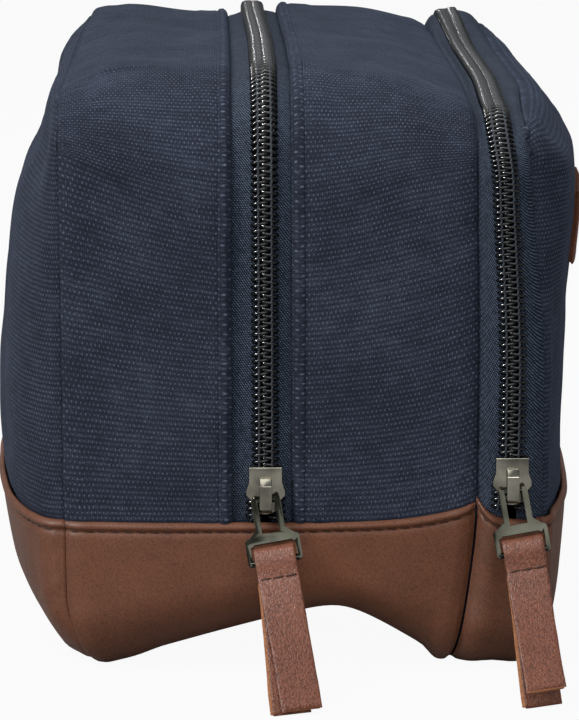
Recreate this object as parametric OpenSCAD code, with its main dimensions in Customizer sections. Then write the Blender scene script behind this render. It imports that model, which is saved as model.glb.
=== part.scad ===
// Soft two-compartment wash bag: canvas over a wrapped leather base, with a coil zip over each compartment.
// X runs along the bag's length, the zip pulls are at -X, the flat front compartment faces -Y and +Z is up.
// The origin is the middle of the flat base.

/* [Bag] */
// Length between the middles of the two ends
bag_length = 244; // [200:1:300]
// Height of the seams above the base
seam_height = 159; // [130:1:190]
// Width of the main compartment between its seams
main_width = 111; // [90:1:140]
// Width of the front compartment between its seams
front_width = 17.5; // [17:0.5:26]
// How far the ends crown out past the seams
end_crown = 3.5; // [2:0.5:5]
// How far the top crowns above the seams
top_crown = 4.5; // [2:0.5:6]
// How far the front compartment's zip stands proud of its seams
front_crown = 1.8; // [1:0.1:2.2]
// Radius of the seams at the top corners
top_radius = 15; // [13:0.5:20]
// Radius of the main compartment's top corners midway between the seams
top_radius_mid = 33; // [24:1:45]
// Radius of the front compartment's top corners at its zip
front_radius_mid = 21; // [16:1:30]
// Radius of the seams at the bottom corners
base_radius = 16; // [13:0.5:20]
// Radius of the main compartment's bottom corners midway between the seams
base_radius_mid = 24; // [16:1:26]
// Rise of the arch in the base at each end
base_arch = 13; // [0:0.5:18]
// Length of the part of the base that is flat
flat_length = 80; // [40:1:120]
// How far the back seam draws in at the base
back_tuck = 7; // [0:0.5:12]
// Height up to which the back seam draws in
back_tuck_height = 25; // [15:1:40]
// How far the middle seam shifts back at the base
divider_tuck = 6; // [0:0.5:10]
// Height up to which the middle seam shifts back
divider_tuck_height = 45; // [30:1:60]

/* [Panels] */
// Bulge of the back panel
back_bulge = 23; // [12:1:32]
// Bulge of the front panel
front_bulge = 16.5; // [8:0.5:24]
// Thickness of the canvas
canvas_t = 1.2; // [0.8:0.1:1.6]
// Thickness of the base leather
leather_t = 1.4; // [1:0.1:1.8]
// Thickness of the lining
lining_t = 0.5; // [0.3:0.1:0.8]
// Thickness of the padded divider
divider_t = 1.6; // [1:0.1:3]
// Height of the leather's upper edge
leather_height = 43.8; // [42:0.1:52]
// Rise of the leather's edge where it meets the middle seam
leather_horn = 4.8; // [0:0.1:8]
// How far the canvas and the zip tape run down under the leather
underlap = 8; // [5:0.5:10]
// Length of the leather patch
patch_length = 45; // [25:1:60]
// Height of the leather patch
patch_height = 23; // [15:1:30]
// Thickness of the leather patch
patch_t = 1.6; // [1:0.1:2.2]
// Middle of the patch along the bag, from the middle of the bag towards the pulls
patch_offset = 66; // [0:1:70]
// Height of the middle of the patch
patch_z = 120; // [90:1:130]

/* [Seams] */
// Gap between pieces of cloth that lie on each other
ply_gap = 0.1; // [0.05:0.01:0.2]
// Gap between the edges of two pieces at a seam
seam_gap = 0.4; // [0.3:0.05:0.6]
// Width of the bound seam allowances in the main compartment
binding_w = 7; // [4:0.5:8]
// Width of the bound seam allowance in the front compartment
front_binding_w = 4; // [3:0.5:5]
// Thickness of a bound seam allowance
binding_t = 1.8; // [1:0.1:2.4]
// Distance from the leather's edge to its row of stitches
edge_stitch = 2.8; // [2:0.1:4]
// Distance from the canvas edge beside the main zip to its row of stitches
zip_stitch = 2.1; // [1.5:0.1:3]
// Thickness of the sewing thread
thread_t = 0.6; // [0.4:0.05:0.9]

/* [Zips] */
// Distance of the main zip from the middle of its compartment, towards the back
main_zip_shift = 1.5; // [-10:0.5:10]
// Width of the opening between the canvas edges beside the main zip
zip_opening = 17.5; // [14:0.5:22]
// Width of the closed chain
chain_w = 7.1; // [6:0.1:7.4]
// Thickness of the chain
chain_t = 2.6; // [2:0.1:3]
// Thickness of the zip tape
tape_t = 0.6; // [0.4:0.05:0.8]
// Gap between the inner edges of the two tapes, under the chain
tape_slit = 3.2; // [3:0.1:4]
// Gap between the leather's edge and the lower end of the main slider
main_slider_gap = 2.7; // [2.2:0.1:12]
// Gap between the leather's edge and the lower end of the front slider
front_slider_gap = 4.8; // [3.8:0.1:12]

/* [Sliders and pulls] */
// Length of a slider
slider_l = 13; // [12:0.1:15]
// Greatest width of a slider
slider_w = 10.4; // [9.6:0.1:11.5]
// Width of a slider at its straight end
slider_neck_w = 8.8; // [8.6:0.1:9.4]
// Thickness of a slider's two plates
plate_t = 1.2; // [0.8:0.1:1.6]
// Width of the bridge that holds the ring
bridge_w = 3.3; // [2.4:0.1:4]
// Thickness of the bridge
bridge_t = 1; // [0.6:0.1:1.4]
// Thickness of the ring
ring_t = 1.6; // [1.2:0.1:2]
// Outer width of the ring's upper loop
ring_top_w = 7.9; // [7.4:0.1:9]
// Distance from the ring's pivot to its crossbar
crossbar_drop = 10.4; // [9:0.1:13]
// Outer width of the ring's lower loop
ring_low_w = 14.6; // [14.2:0.1:17]
// Distance from the ring's pivot to its lower bar
ring_drop = 16.6; // [16:0.1:20]
// Width of the leather pull tab
tab_w = 11; // [8:0.1:11.2]
// Thickness of one layer of the pull tab
tab_t = 1.3; // [0.9:0.1:1.6]
// Length of the pull tab below the ring's lower bar
tab_l = 39.4; // [30:0.1:46]
// Height of the tab's loop over the ring's lower bar
loop_h = 4; // [3.6:0.1:4.3]
// How far the main tab's front layer stands off at its end
main_splay = 0.6; // [0:0.1:12]
// How far the front tab's front layer stands off at its end
front_splay = 8; // [0:0.1:12]
// Sideways lean of the pulls
pull_lean = 10; // [0:1:12]

/* [Hidden] */
$fn = 48;

navy = "#2b3345";
lining_blue = "#3a4050";
cognac = "#7d4a35";
tab_brown = "#8a5140";
coil_black = "#17181b";
gunmetal = "#5d5f5c";
thread_brown = "#4a2c20";

MAIN = 0;
FRONT = 1;
NEAR = -1;
FAR = 1;

// Seam planes, back to front
back_y = (main_width + front_width) / 2;
divider_y = back_y - main_width;
front_y = divider_y - front_width;
seam_x = bag_length / 2 - end_crown;

// Clearance between a slider or a pull and what it moves over
running_gap = 0.4;

// Depths below the leather's outer surface
canvas_depth = leather_t + ply_gap;
lining_depth = canvas_depth + canvas_t + tape_t + 7 * ply_gap;
inner_depth = lining_depth + lining_t;

function clamp(v, lo, hi) = max(lo, min(hi, v));
function ease(v, lo, hi) = let (k = clamp((v - lo) / (hi - lo), 0, 1)) k * k * (3 - 2 * k);
function unit(v) = v / max(norm(v), 1e-9);
function steps(n) = [for (i = [0 : n]) i / n];
function between(a, b, list) = [for (f = list) a + (b - a) * f];
function picked(grid, rows, cols) = [for (i = rows) [for (j = cols) grid[i][j]]];

// ---- Where the seams run

function back_seam(z) = back_y - back_tuck * pow(clamp(1 - z / back_tuck_height, 0, 1), 2);
function divider_seam(z) = divider_y + divider_tuck * pow(clamp(1 - z / divider_tuck_height, 0, 1), 1.5);
function front_seam(z) = front_y;
function seam_y(bay, side, z) =
    bay == MAIN
        ? (side == 0 ? back_seam(z) - seam_gap / 2 : divider_seam(z) + (divider_t + seam_gap) / 2)
        : (side == 0 ? divider_seam(z) - (divider_t + seam_gap) / 2 : front_seam(z) + seam_gap / 2);
function bay_width(bay) = seam_y(bay, 0, seam_height) - seam_y(bay, 1, seam_height);

// ---- Cross-section of a gusset, from one seam (t = 0) to the other (t = 1)

function crown(bay, t) = 1 - pow(abs(2 * t - 1), bay == MAIN ? 3.2 : 4);
function swell(bay, t) = 1 - pow(abs(2 * t - 1), bay == MAIN ? 2 : 4);
function end_x(bay, t) = seam_x + (bay == MAIN ? end_crown : front_crown) * crown(bay, t);
function top_z(bay, t) = seam_height + (bay == MAIN ? top_crown : front_crown) * crown(bay, t);
function top_r(bay, t) =
    top_radius + ((bay == MAIN ? top_radius_mid : front_radius_mid) - top_radius) * swell(bay, t);
function base_r(bay, t) = base_radius + (bay == MAIN ? base_radius_mid - base_radius : 0) * swell(bay, t);
function arch_shape(t) = pow(t, 3) * pow(1 - t, 1.5) / 0.0571;
function arch_lift(bay, t, x, z) =
    bay == MAIN
        ? base_arch * arch_shape(t) * ease(x, flat_length / 2, end_x(bay, t))
            * pow(clamp(1 - z / leather_height, 0, 1), 1.5)
        : 0;
function leather_line(bay, t) =
    leather_height + leather_horn * (bay == MAIN ? pow(t, 10) : 1.2 * pow(1 - t, 5));

// ---- Stations round a gusset, from the middle of the base up one end to the middle of the top
// Each is [zone, value]. Zones: 0 flat base, 1 base to the corner, 2 bottom corner, 3 below the leather's edge
// by a distance, 4 above that edge, 5 top corner, 6 top.

corner_steps = 5;
HALF = concat(
    [for (f = [0, 0.5]) [0, f]],
    [for (f = [0, 0.35, 0.7]) [1, f]],
    [for (f = steps(4)) [2, f]],
    [[3, underlap + 4], [3, underlap], [3, edge_stitch + thread_t / 2], [3, edge_stitch - thread_t / 2], [3, 0]],
    [for (f = [0.12, 0.4, 0.7]) [4, f]],
    [for (f = steps(corner_steps)) [5, f]],
    [for (f = [0.35, 0.7, 1]) [6, f]]
);
half_n = len(HALF) - 1;
loop_n = 2 * half_n;
line_row = 14;
under_row = line_row - 3;
stitch_row = line_row - 2;

function station_point(bay, t, station) =
    let (zone = station[0], f = station[1], ex = end_x(bay, t), tz = top_z(bay, t))
    let (rt = top_r(bay, t), rb = base_r(bay, t), line = leather_line(bay, t), flat = flat_length / 2)
    zone == 0 ? [flat * f, 0]
    : zone == 1 ? [flat + (ex - rb - flat) * f, 0]
    : zone == 2 ? [ex - rb + rb * sin(90 * f), rb - rb * cos(90 * f)]
    : zone == 3 ? [ex, line - f]
    : zone == 4 ? [ex, line + (tz - rt - line) * f]
    : zone == 5 ? [ex - rt + rt * cos(90 * f), tz - rt + rt * sin(90 * f)]
    : [(ex - rt) * (1 - f), tz];

function gusset_point(bay, t, row) =
    let (side = row <= half_n ? NEAR : FAR, k = row <= half_n ? row : loop_n - row)
    let (p = station_point(bay, t, HALF[k]), a = seam_y(bay, 0, p[1]), b = seam_y(bay, 1, p[1]))
    [side * p[0], a + (b - a) * t, p[1] + arch_lift(bay, t, p[0], p[1])];

// Columns across each gusset, as distances from its first seam
main_zip_y = (back_y + divider_y) / 2 + main_zip_shift;
front_zip_y = (seam_y(FRONT, 0, seam_height) + seam_y(FRONT, 1, seam_height)) / 2;
main_c = seam_y(MAIN, 0, seam_height) - main_zip_y;
main_w = bay_width(MAIN);
main_edge_a = main_c - zip_opening / 2;
main_edge_b = main_c + zip_opening / 2;
tape_hidden = 5;
MAIN_COLS = concat(
    [0, binding_w / 3, binding_w],
    between(binding_w, main_edge_a - tape_hidden, [0.3, 0.8]),
    [main_edge_a - tape_hidden, main_edge_a - zip_stitch - thread_t / 2, main_edge_a - zip_stitch + thread_t / 2],
    [main_edge_a, main_c - tape_slit / 2, main_c + tape_slit / 2, main_edge_b],
    [main_edge_b + zip_stitch - thread_t / 2, main_edge_b + zip_stitch + thread_t / 2, main_edge_b + tape_hidden],
    between(main_edge_b + tape_hidden, main_w - binding_w, [0.2, 0.7]),
    [main_w - binding_w, main_w - binding_w / 3, main_w]
);
front_c = seam_y(FRONT, 0, seam_height) - front_zip_y;
front_w = bay_width(FRONT);
seam_strip = 1.6;
FRONT_COLS = [
    0, seam_strip / 2, seam_strip, front_c - slider_neck_w / 2 - running_gap, front_c - tape_slit / 2,
    front_c + tape_slit / 2, front_c + slider_neck_w / 2 + running_gap, front_w - seam_strip,
    front_w - seam_strip / 2, front_w
];
function columns(bay) = bay == MAIN ? MAIN_COLS : FRONT_COLS;
function gusset_grid(bay) =
    [for (row = [0 : loop_n - 1]) [for (c = columns(bay)) gusset_point(bay, c / bay_width(bay), row)]];

// ---- Panels: a height field over the outline of the seams

HALF_X = [0.17, 0.34, 0.5, 0.65, 0.78, 0.87, 0.935, 0.974, 1];
PANEL_X = concat([for (i = [len(HALF_X) - 1 : -1 : 0]) -HALF_X[i]], [0], HALF_X);
PANEL_LOW = [0, 0.07, 0.22, 0.55];
PANEL_HIGH = [0.12, 0.34, 0.56, 0.78, 0.93, 1];
panel_line_row = len(PANEL_LOW) + 3;
panel_top_row = panel_line_row + len(PANEL_HIGH);

CANVAS_ROWS = [len(PANEL_LOW) : panel_top_row];
LEATHER_ROWS = [0 : panel_line_row];
LINING_ROWS = concat([0], [for (i = [2 : len(PANEL_LOW)]) i], [for (i = [panel_line_row : panel_top_row]) i]);
ALL_COLS = [0 : len(PANEL_X) - 1];
LINING_COLS = [0 : 2 : len(PANEL_X) - 1];

function outline_low(x) =
    let (e = abs(x) - (seam_x - base_radius)) e <= 0 ? 0 : base_radius - sqrt(max(0, pow(base_radius, 2) - e * e));
function outline_high(x) =
    let (e = abs(x) - (seam_x - top_radius))
    seam_height - (e <= 0 ? 0 : top_radius - sqrt(max(0, pow(top_radius, 2) - e * e)));
function panel_rows(x) =
    let (low = outline_low(x), stitch = leather_height - edge_stitch, high = outline_high(x))
    concat(
        between(low, leather_height - underlap, PANEL_LOW), [leather_height - underlap],
        [stitch - thread_t / 2, stitch + thread_t / 2, leather_height],
        between(leather_height, high, PANEL_HIGH)
    );
function back_bulge_at(x, z) =
    let (u = abs(x) / seam_x, q = pow(clamp(z / seam_height, 0, 1), 0.8))
    back_bulge * pow(max(0, 1 - pow(u, 2.5)), 0.54) * pow(max(0, 1 - pow(abs(2 * q - 1), 2.35)), 0.58);
function front_bulge_at(x, z) =
    let (u = abs(x) / seam_x, q = clamp(z / seam_height, 0, 1))
    front_bulge * pow(max(0, 1 - pow(u, 2.85)), 0.63)
        * pow(1 - pow(1 - q, 10), 0.44) * pow(1 - pow(q, 14), 0.62);
function panel_seam(bay, z) = bay == MAIN ? back_seam(z) + seam_gap / 2 : front_seam(z) - seam_gap / 2;
function panel_point(bay, x, z) =
    [x, panel_seam(bay, z) + (bay == MAIN ? back_bulge_at(x, z) : -front_bulge_at(x, z)), z];
function panel_grid(bay) =
    [for (i = [0 : panel_top_row]) [for (u = PANEL_X) let (x = seam_x * u) panel_point(bay, x, panel_rows(x)[i])]];

// ---- Sheets of cloth between two depths below a grid

// Outward normals of a grid. A loop grid closes on itself from its last row to its first. On a gusset and at the
// edge of a panel the normal has no part across the bag, so the edges of two sheets stand side by side.
function outline_normal(x, z) =
    let (r = z < seam_height / 2 ? base_radius : top_radius)
    let (dx = max(0, abs(x) - seam_x + r), dz = z < seam_height / 2 ? min(0, z - r) : max(0, z - seam_height + r))
    unit([(x < 0 ? -1 : 1) * dx, 0, dz]);
function grid_normal(grid, i, j, loop, turn, sewn) =
    let (n = len(grid), m = len(grid[0]))
    let (up = loop ? grid[(i + 1) % n][j] : grid[min(i + 1, n - 1)][j])
    let (down = loop ? grid[(i + n - 1) % n][j] : grid[max(i - 1, 0)][j])
    let (across = grid[i][min(j + 1, m - 1)] - grid[i][max(j - 1, 0)])
    let (v = turn * cross(up - down, across), border = i == 0 || i == n - 1 || j == 0 || j == m - 1)
    loop ? unit([v[0], 0, v[2]]) : sewn && border ? outline_normal(grid[i][j][0], grid[i][j][2]) : unit(v);
function normals(grid, loop, turn, sewn = true) =
    [for (i = [0 : len(grid) - 1]) [for (j = [0 : len(grid[0]) - 1]) grid_normal(grid, i, j, loop, turn, sewn)]];
function sunk(grid, norms, depth) =
    [for (i = [0 : len(grid) - 1]) [for (j = [0 : len(grid[0]) - 1]) grid[i][j] - depth * norms[i][j]]];

function sunk_gusset(bay, depth) =
    let (grid = gusset_grid(bay), norms = normals(grid, true, -1), last = len(grid[0]) - 1)
    [for (i = [0 : loop_n - 1]) [for (j = [0 : last])
        let (p = grid[i][j] - depth * norms[i][j])
        [p[0], j == 0 ? seam_y(bay, 0, p[2]) : j == last ? seam_y(bay, 1, p[2]) : p[1], p[2]]]];
function sunk_panel(bay, depth) =
    let (grid = panel_grid(bay), norms = normals(grid, false, bay == MAIN ? 1 : -1))
    let (top = len(grid) - 1, last = len(grid[0]) - 1)
    [for (i = [0 : top]) [for (j = [0 : last])
        let (p = grid[i][j] - depth * norms[i][j], border = i == 0 || i == top || j == 0 || j == last)
        [p[0], border ? panel_seam(bay, p[2]) : p[1], p[2]]]];

// A lining stands inside its panel and on its own side of the seam's plane.
function lining_panel(bay, thickness) =
    let (turn = bay == MAIN ? 1 : -1, grid = panel_grid(bay), middle = seam_height / 2)
    [for (i = LINING_ROWS) [for (j = LINING_COLS)
        let (p = grid[i][j], rise = turn * (p[1] - panel_seam(bay, p[2])))
        let (x = p[0] * (1 - inner_depth / seam_x), z = middle + (p[2] - middle) * (1 - inner_depth / middle))
        [x, panel_seam(bay, z) + turn * (seam_gap / 2 + max(0, rise - inner_depth) + thickness), z]]];

// A closed sheet between two grids. keep(i, j) says which cells are cloth. The first grid is on the side that
// its rows crossed with its columns point to. No triangle of an open grid has all its corners on the edge.
module sheet(face, back, loop, keep) {
    n = len(face);
    m = len(face[0]);
    rows = loop ? n : n - 1;
    points = concat([for (r = face) each r], [for (r = back) each r]);
    function has(i, j) =
        j >= 0 && j < m - 1 && (loop || (i >= 0 && i < rows)) && keep(loop ? (i + rows) % rows : i, j);
    function at(i, j) = (i % n) * m + j;
    function wall(a, b) = [[a, b, b + n * m], [a, b + n * m, a + n * m]];
    faces = [
        for (i = [0 : rows - 1]) for (j = [0 : m - 2]) if (has(i, j))
            let (a = at(i, j), b = at(i, j + 1), c = at(i + 1, j + 1), d = at(i + 1, j), k = n * m)
            let (halves = !loop && (i < rows / 2) != (j < m / 2) ? [[a, b, d], [b, c, d]] : [[a, b, c], [a, c, d]])
            each concat(
                halves, [for (h = halves) [h[2] + k, h[1] + k, h[0] + k]],
                has(i, j - 1) ? [] : wall(a, d),
                has(i, j + 1) ? [] : wall(c, b),
                has(i - 1, j) ? [] : wall(b, a),
                has(i + 1, j) ? [] : wall(d, c)
            )
    ];
    polyhedron(points, faces);
}

module gusset_sheet(bay, depth, thickness, keep, cols = undef) {
    rows = [0 : loop_n - 1];
    pick = is_undef(cols) ? [0 : len(columns(bay)) - 1] : cols;
    outer = picked(sunk_gusset(bay, depth), rows, pick);
    inner = picked(sunk_gusset(bay, depth + thickness), rows, pick);
    sheet(inner, outer, true, keep);
}

module panel_sheet(bay, depth, thickness, rows) {
    outer = picked(sunk_panel(bay, depth), rows, ALL_COLS);
    inner = picked(sunk_panel(bay, depth + thickness), rows, ALL_COLS);
    if (bay == MAIN) sheet(outer, inner, false, function(i, j) true);
    else sheet(inner, outer, false, function(i, j) true);
}

// Rows of a loop that lie above, or below, a row of the half
function above(row, low) = row >= low && row < loop_n - low;
function below(row, high) = row < high || row >= loop_n - high;

// ---- Shell pieces

module back_panel_canvas() {
    color(navy) panel_sheet(MAIN, canvas_depth, canvas_t, CANVAS_ROWS);
}

module back_panel_leather() {
    color(cognac) panel_sheet(MAIN, 0, leather_t, LEATHER_ROWS);
}

module front_panel_canvas() {
    color(navy) panel_sheet(FRONT, canvas_depth, canvas_t, CANVAS_ROWS);
}

module front_panel_leather() {
    color(cognac) panel_sheet(FRONT, 0, leather_t, LEATHER_ROWS);
}

module main_base_leather() {
    color(cognac) gusset_sheet(MAIN, 0, leather_t, function(i, j) below(i, line_row));
}

module front_base_leather() {
    color(cognac) gusset_sheet(FRONT, 0, leather_t, function(i, j) below(i, line_row));
}

module main_gusset_canvas_rear() {
    color(navy) gusset_sheet(MAIN, canvas_depth, canvas_t, function(i, j) above(i, under_row) && j < 8);
}

module main_gusset_canvas_front() {
    color(navy) gusset_sheet(MAIN, canvas_depth, canvas_t, function(i, j) above(i, under_row) && j >= 11);
}

module divider_panel() {
    inset = canvas_depth / 2;
    grid = [for (i = [0 : panel_top_row]) [for (u = PANEL_X) let (x = seam_x * u) [x, 0, panel_rows(x)[i]]]];
    border = function(i, j) i == 0 || i == panel_top_row || j == 0 || j == len(PANEL_X) - 1;
    function place(i, j, side) =
        let (p = grid[i][j], q = border(i, j) ? p + inset * unit([-p[0], 0, seam_height / 2 - p[2]]) : p)
        [q[0], divider_seam(q[2]) + side * divider_t / 2, q[2]];
    function face(side) = [for (i = LINING_ROWS) [for (j = LINING_COLS) place(i, j, side)]];
    color(lining_blue) sheet(face(1), face(-1), false, function(i, j) true);
}

// ---- Lining

module main_lining_gusset() {
    pick = [0, 1, 2, 3, 8, 11, 16, 17, 18, 19];
    color(lining_blue) gusset_sheet(MAIN, lining_depth, lining_t,
        function(i, j) j != 4 || below(i, line_row - 1), pick);
}

module main_lining_back() {
    color(lining_blue) sheet(lining_panel(MAIN, lining_t), lining_panel(MAIN, 0), false, function(i, j) true);
}

module front_lining_gusset() {
    pick = [0, 1, 2, 7, 8, 9];
    color(lining_blue) gusset_sheet(FRONT, lining_depth, lining_t,
        function(i, j) j != 2 || below(i, line_row - 1), pick);
}

module front_lining_panel() {
    color(lining_blue) sheet(lining_panel(FRONT, 0), lining_panel(FRONT, lining_t), false, function(i, j) true);
}

// ---- Bound seam allowances, pressed flat against the inside of the gussets

binding_depth = inner_depth + 2 * ply_gap;

module main_binding(cols) {
    color(coil_black) gusset_sheet(MAIN, binding_depth, binding_t, function(i, j) true, cols);
}

module back_seam_binding() main_binding([0, 2]);
module divider_seam_binding() main_binding([len(MAIN_COLS) - 3, len(MAIN_COLS) - 1]);

module front_seam_binding() {
    last = len(FRONT_COLS) - 1;
    function edge(depth) =
        let (grid = sunk_gusset(FRONT, depth))
        [for (r = grid) [r[last] + [0, front_binding_w, 0], r[last]]];
    color(coil_black) sheet(edge(binding_depth + binding_t), edge(binding_depth), true, function(i, j) true);
}

// ---- Patch on the front panel, towards the pulls

patch_border = 2;
function patch_marks(size) =
    let (a = patch_border - thread_t / 2, b = patch_border + thread_t / 2)
    concat([0, a, b], between(b, size - b, [0.25, 0.5, 0.75]), [size - b, size - a, size]);
function patch_face(depth) =
    let (left = -patch_offset - patch_length / 2, low = patch_z - patch_height / 2)
    let (grid = [for (v = patch_marks(patch_height)) [for (u = patch_marks(patch_length))
        panel_point(FRONT, left + u, low + v)]])
    sunk(grid, normals(grid, false, -1, false), depth);
patch_depth = canvas_depth - 0.3;

module leather_patch() {
    color(cognac) sheet(patch_face(patch_depth), patch_face(patch_depth - patch_t), false, function(i, j) true);
}

module patch_stitching() {
    low = patch_depth - patch_t - stitch_gap;
    last = len(patch_marks(patch_length)) - 3;
    keep = function(i, j) i > 0 && j > 0 && i <= last && j <= last && (i == 1 || j == 1 || i == last || j == last);
    color(thread_brown) sheet(patch_face(low), patch_face(low - stitch_rise), false, keep);
}

// ---- Rows of stitching, each a low ridge of thread on the cloth

stitch_rise = 0.35;
stitch_gap = 0.02;

module base_edge_stitching() {
    depth = -stitch_gap - stitch_rise;
    row = stitch_row;
    low = panel_line_row - 2;
    color(thread_brown) {
        for (bay = [MAIN, FRONT]) {
            gusset_sheet(bay, depth, stitch_rise, function(i, j) i == row || i == loop_n - 1 - row);
            panel_sheet(bay, depth, stitch_rise, [low, low + 1]);
        }
    }
}

module main_zip_stitching() {
    keep = function(i, j) above(i, line_row) && (j == 6 || j == 12);
    color(navy) gusset_sheet(MAIN, canvas_depth - stitch_gap - stitch_rise, stitch_rise, keep);
}

// ---- Zip tapes and chain

function tape_depth(bay) = canvas_depth + (bay == MAIN ? canvas_t + ply_gap : 0);
function zip_y(bay) = bay == MAIN ? main_zip_y : front_zip_y;
function zip_t(bay) = (bay == MAIN ? main_c : front_c) / bay_width(bay);
function slider_z(bay) = leather_height + (bay == MAIN ? main_slider_gap : front_slider_gap);

module main_zip_tape_rear() {
    color(navy) gusset_sheet(MAIN, tape_depth(MAIN), tape_t, function(i, j) above(i, under_row) && j >= 5 && j < 9);
}

module main_zip_tape_front() {
    color(navy) gusset_sheet(MAIN, tape_depth(MAIN), tape_t, function(i, j) above(i, under_row) && j >= 10 && j < 14);
}

module front_zip_tape_rear() {
    color(navy) gusset_sheet(FRONT, tape_depth(FRONT), tape_t, function(i, j) above(i, under_row) && j < 4);
}

module front_zip_tape_front() {
    color(navy) gusset_sheet(FRONT, tape_depth(FRONT), tape_t, function(i, j) above(i, under_row) && j >= 5);
}

// The chain is closed above the slider and parts round the slider's post below it
closed_at = 0.7 * slider_l;
parted_at = 0.46 * slider_l;
coil_gap = 0.05;
post_w = tape_slit - 0.9;
coil_end_gap = 0.4;
function parting(bay, z) =
    let (h = z - slider_z(bay), shut = ease(h, parted_at, closed_at), open = ease(-h, -1, 3))
    coil_gap * shut + (tape_slit / 2 + open) * (1 - shut);

// Each station of the chain's path: [x, z, outward x, outward z, parting]
function coil_path(bay) =
    let (t = zip_t(bay), x = end_x(bay, t), z = top_z(bay, t), r = top_r(bay, t))
    let (edge_t = t - (chain_w / 2 + parting(bay, 0)) / bay_width(bay))
    let (low = leather_line(bay, edge_t) + coil_end_gap, s = slider_z(bay))
    let (parting_mid = s + (parted_at + closed_at) / 2, wall_mid = (s + closed_at + z - r) / 2)
    let (heights = [low, s - 1, s + 1, s + parted_at, parting_mid, s + closed_at, wall_mid])
    concat(
        [for (h = heights) [-x, h, -1, 0, parting(bay, h)]],
        [for (f = steps(corner_steps))
            [r - x - r * cos(90 * f), z - r + r * sin(90 * f), -cos(90 * f), sin(90 * f), coil_gap]],
        [[0, z, 0, 1, coil_gap]],
        [for (f = steps(corner_steps))
            [x - r + r * sin(90 * f), z - r + r * cos(90 * f), sin(90 * f), cos(90 * f), coil_gap]],
        [[x, low, 1, 0, coil_gap]]
    );

COIL_SECTION = [[0, 0.25], [0.2, 0], [0.8, 0], [1, 0.25], [1, 0.75], [0.8, 1], [0.2, 1], [0, 0.75]];

module coil(bay, side) {
    path = coil_path(bay);
    sides = len(COIL_SECTION);
    width = chain_w / 2 - coil_gap;
    base = tape_depth(bay) - ply_gap;
    points = [for (p = path) for (c = COIL_SECTION)
        let (depth = base - chain_t * c[1])
        [p[0] - depth * p[2], zip_y(bay) + side * (p[4] + width * c[0]), p[1] - depth * p[3]]];
    last = (len(path) - 1) * sides;
    skin = [for (i = [0 : len(path) - 2]) for (k = [0 : sides - 1])
        let (a = i * sides + k, b = i * sides + (k + 1) % sides)
        [a, b, b + sides, a + sides]];
    faces = concat(skin, [[for (k = [sides - 1 : -1 : 0]) k]], [[for (k = [0 : sides - 1]) last + k]]);
    color(coil_black) polyhedron(points, side > 0 ? faces : [for (f = faces) [for (k = [len(f) - 1 : -1 : 0]) f[k]]]);
}

module main_zip_coil_rear() coil(MAIN, 1);
module main_zip_coil_front() coil(MAIN, -1);
module front_zip_coil_rear() coil(FRONT, 1);
module front_zip_coil_front() coil(FRONT, -1);

// ---- Slider, in its own frame: x across the zip, y up it, z out from the tape

plate_z = ply_gap + chain_t + running_gap;
plate_top = plate_z + plate_t;
plate_back = -tape_t - running_gap;
flange_t = (slider_neck_w - chain_w) / 2 - running_gap;
flange_l = 4;
pin_r = ring_t / 2;
pivot_y = 4.2;
pivot_z = plate_top + pin_r + running_gap;

module at_zip(bay) {
    translate([tape_depth(bay) - end_x(bay, zip_t(bay)), zip_y(bay), slider_z(bay)])
        rotate([90, 0, -90])
            children();
}

nose_r = slider_neck_w / 2 - 0.6;
shoulder_l = 1.2;
module plate_outline(wide) {
    shoulder = slider_l / 2;
    straight = slider_neck_w / 2;
    right = [
        [nose_r, nose_r], [wide / 2, shoulder - shoulder_l], [wide / 2, shoulder],
        [straight, slider_l - flange_l], [straight, slider_l]
    ];
    polygon(concat(right, [for (i = [len(right) - 1 : -1 : 0]) [-right[i][0], right[i][1]]]));
    translate([0, nose_r]) circle(nose_r);
}

post_low = 0.8;
post_high = 3;
post_tip = 4.8;

module slider(bay) {
    color(gunmetal) at_zip(bay) {
        translate([0, 0, plate_z]) linear_extrude(plate_t) plate_outline(slider_w);
        translate([0, 0, plate_back - plate_t]) linear_extrude(plate_t) plate_outline(slider_neck_w);
        translate([0, 0, plate_back]) linear_extrude(plate_z - plate_back)
            polygon([
                [-post_w / 2, post_low], [post_w / 2, post_low], [post_w / 2, post_high],
                [0, post_tip], [-post_w / 2, post_high]
            ]);
        for (side = [-1, 1])
            translate([side * (slider_neck_w - flange_t) / 2 - flange_t / 2, slider_l - flange_l, running_gap])
                cube([flange_t, flange_l, plate_z - running_gap]);
    }
}

bridge_low = 1.1;
bridge_high = slider_l - 2.6;
bridge_roof = 2 * pin_r + 2 * running_gap;
bridge_bevel = 0.8;
module slider_bridge(bay) {
    inner_high = bridge_high - bridge_t;
    color(gunmetal) at_zip(bay)
        translate([-bridge_w / 2, 0, plate_top]) rotate([90, 0, 90]) linear_extrude(bridge_w)
            polygon([
                [bridge_low, 0], [bridge_low, bridge_roof], [bridge_low + bridge_t, bridge_roof + bridge_t],
                [inner_high - bridge_bevel, bridge_roof + bridge_t], [bridge_high, bridge_roof - bridge_bevel],
                [bridge_high, 0], [inner_high, 0], [inner_high, bridge_roof - bridge_bevel],
                [inner_high - bridge_bevel, bridge_roof], [bridge_low + bridge_t, bridge_roof],
                [bridge_low + bridge_t, 0]
            ]);
}

module main_zip_slider() slider(MAIN);
module main_zip_slider_bridge() slider_bridge(MAIN);
module front_zip_slider() slider(FRONT);
module front_zip_slider_bridge() slider_bridge(FRONT);

// ---- Pull: a ring on the slider's bridge and a folded leather tab on the ring. At rest the tab's end is just
// above the ground in front of the bag.

tip_clear = 2.1;
function hang(bay) =
    acos(clamp((slider_z(bay) + pivot_y - tip_clear) / ((ring_drop + tab_l) * cos(pull_lean)), 0.2, 0.98));

module at_pivot(bay) {
    at_zip(bay) translate([0, pivot_y, pivot_z]) rotate([0, 0, pull_lean]) rotate([-hang(bay), 0, 0]) children();
}

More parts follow.
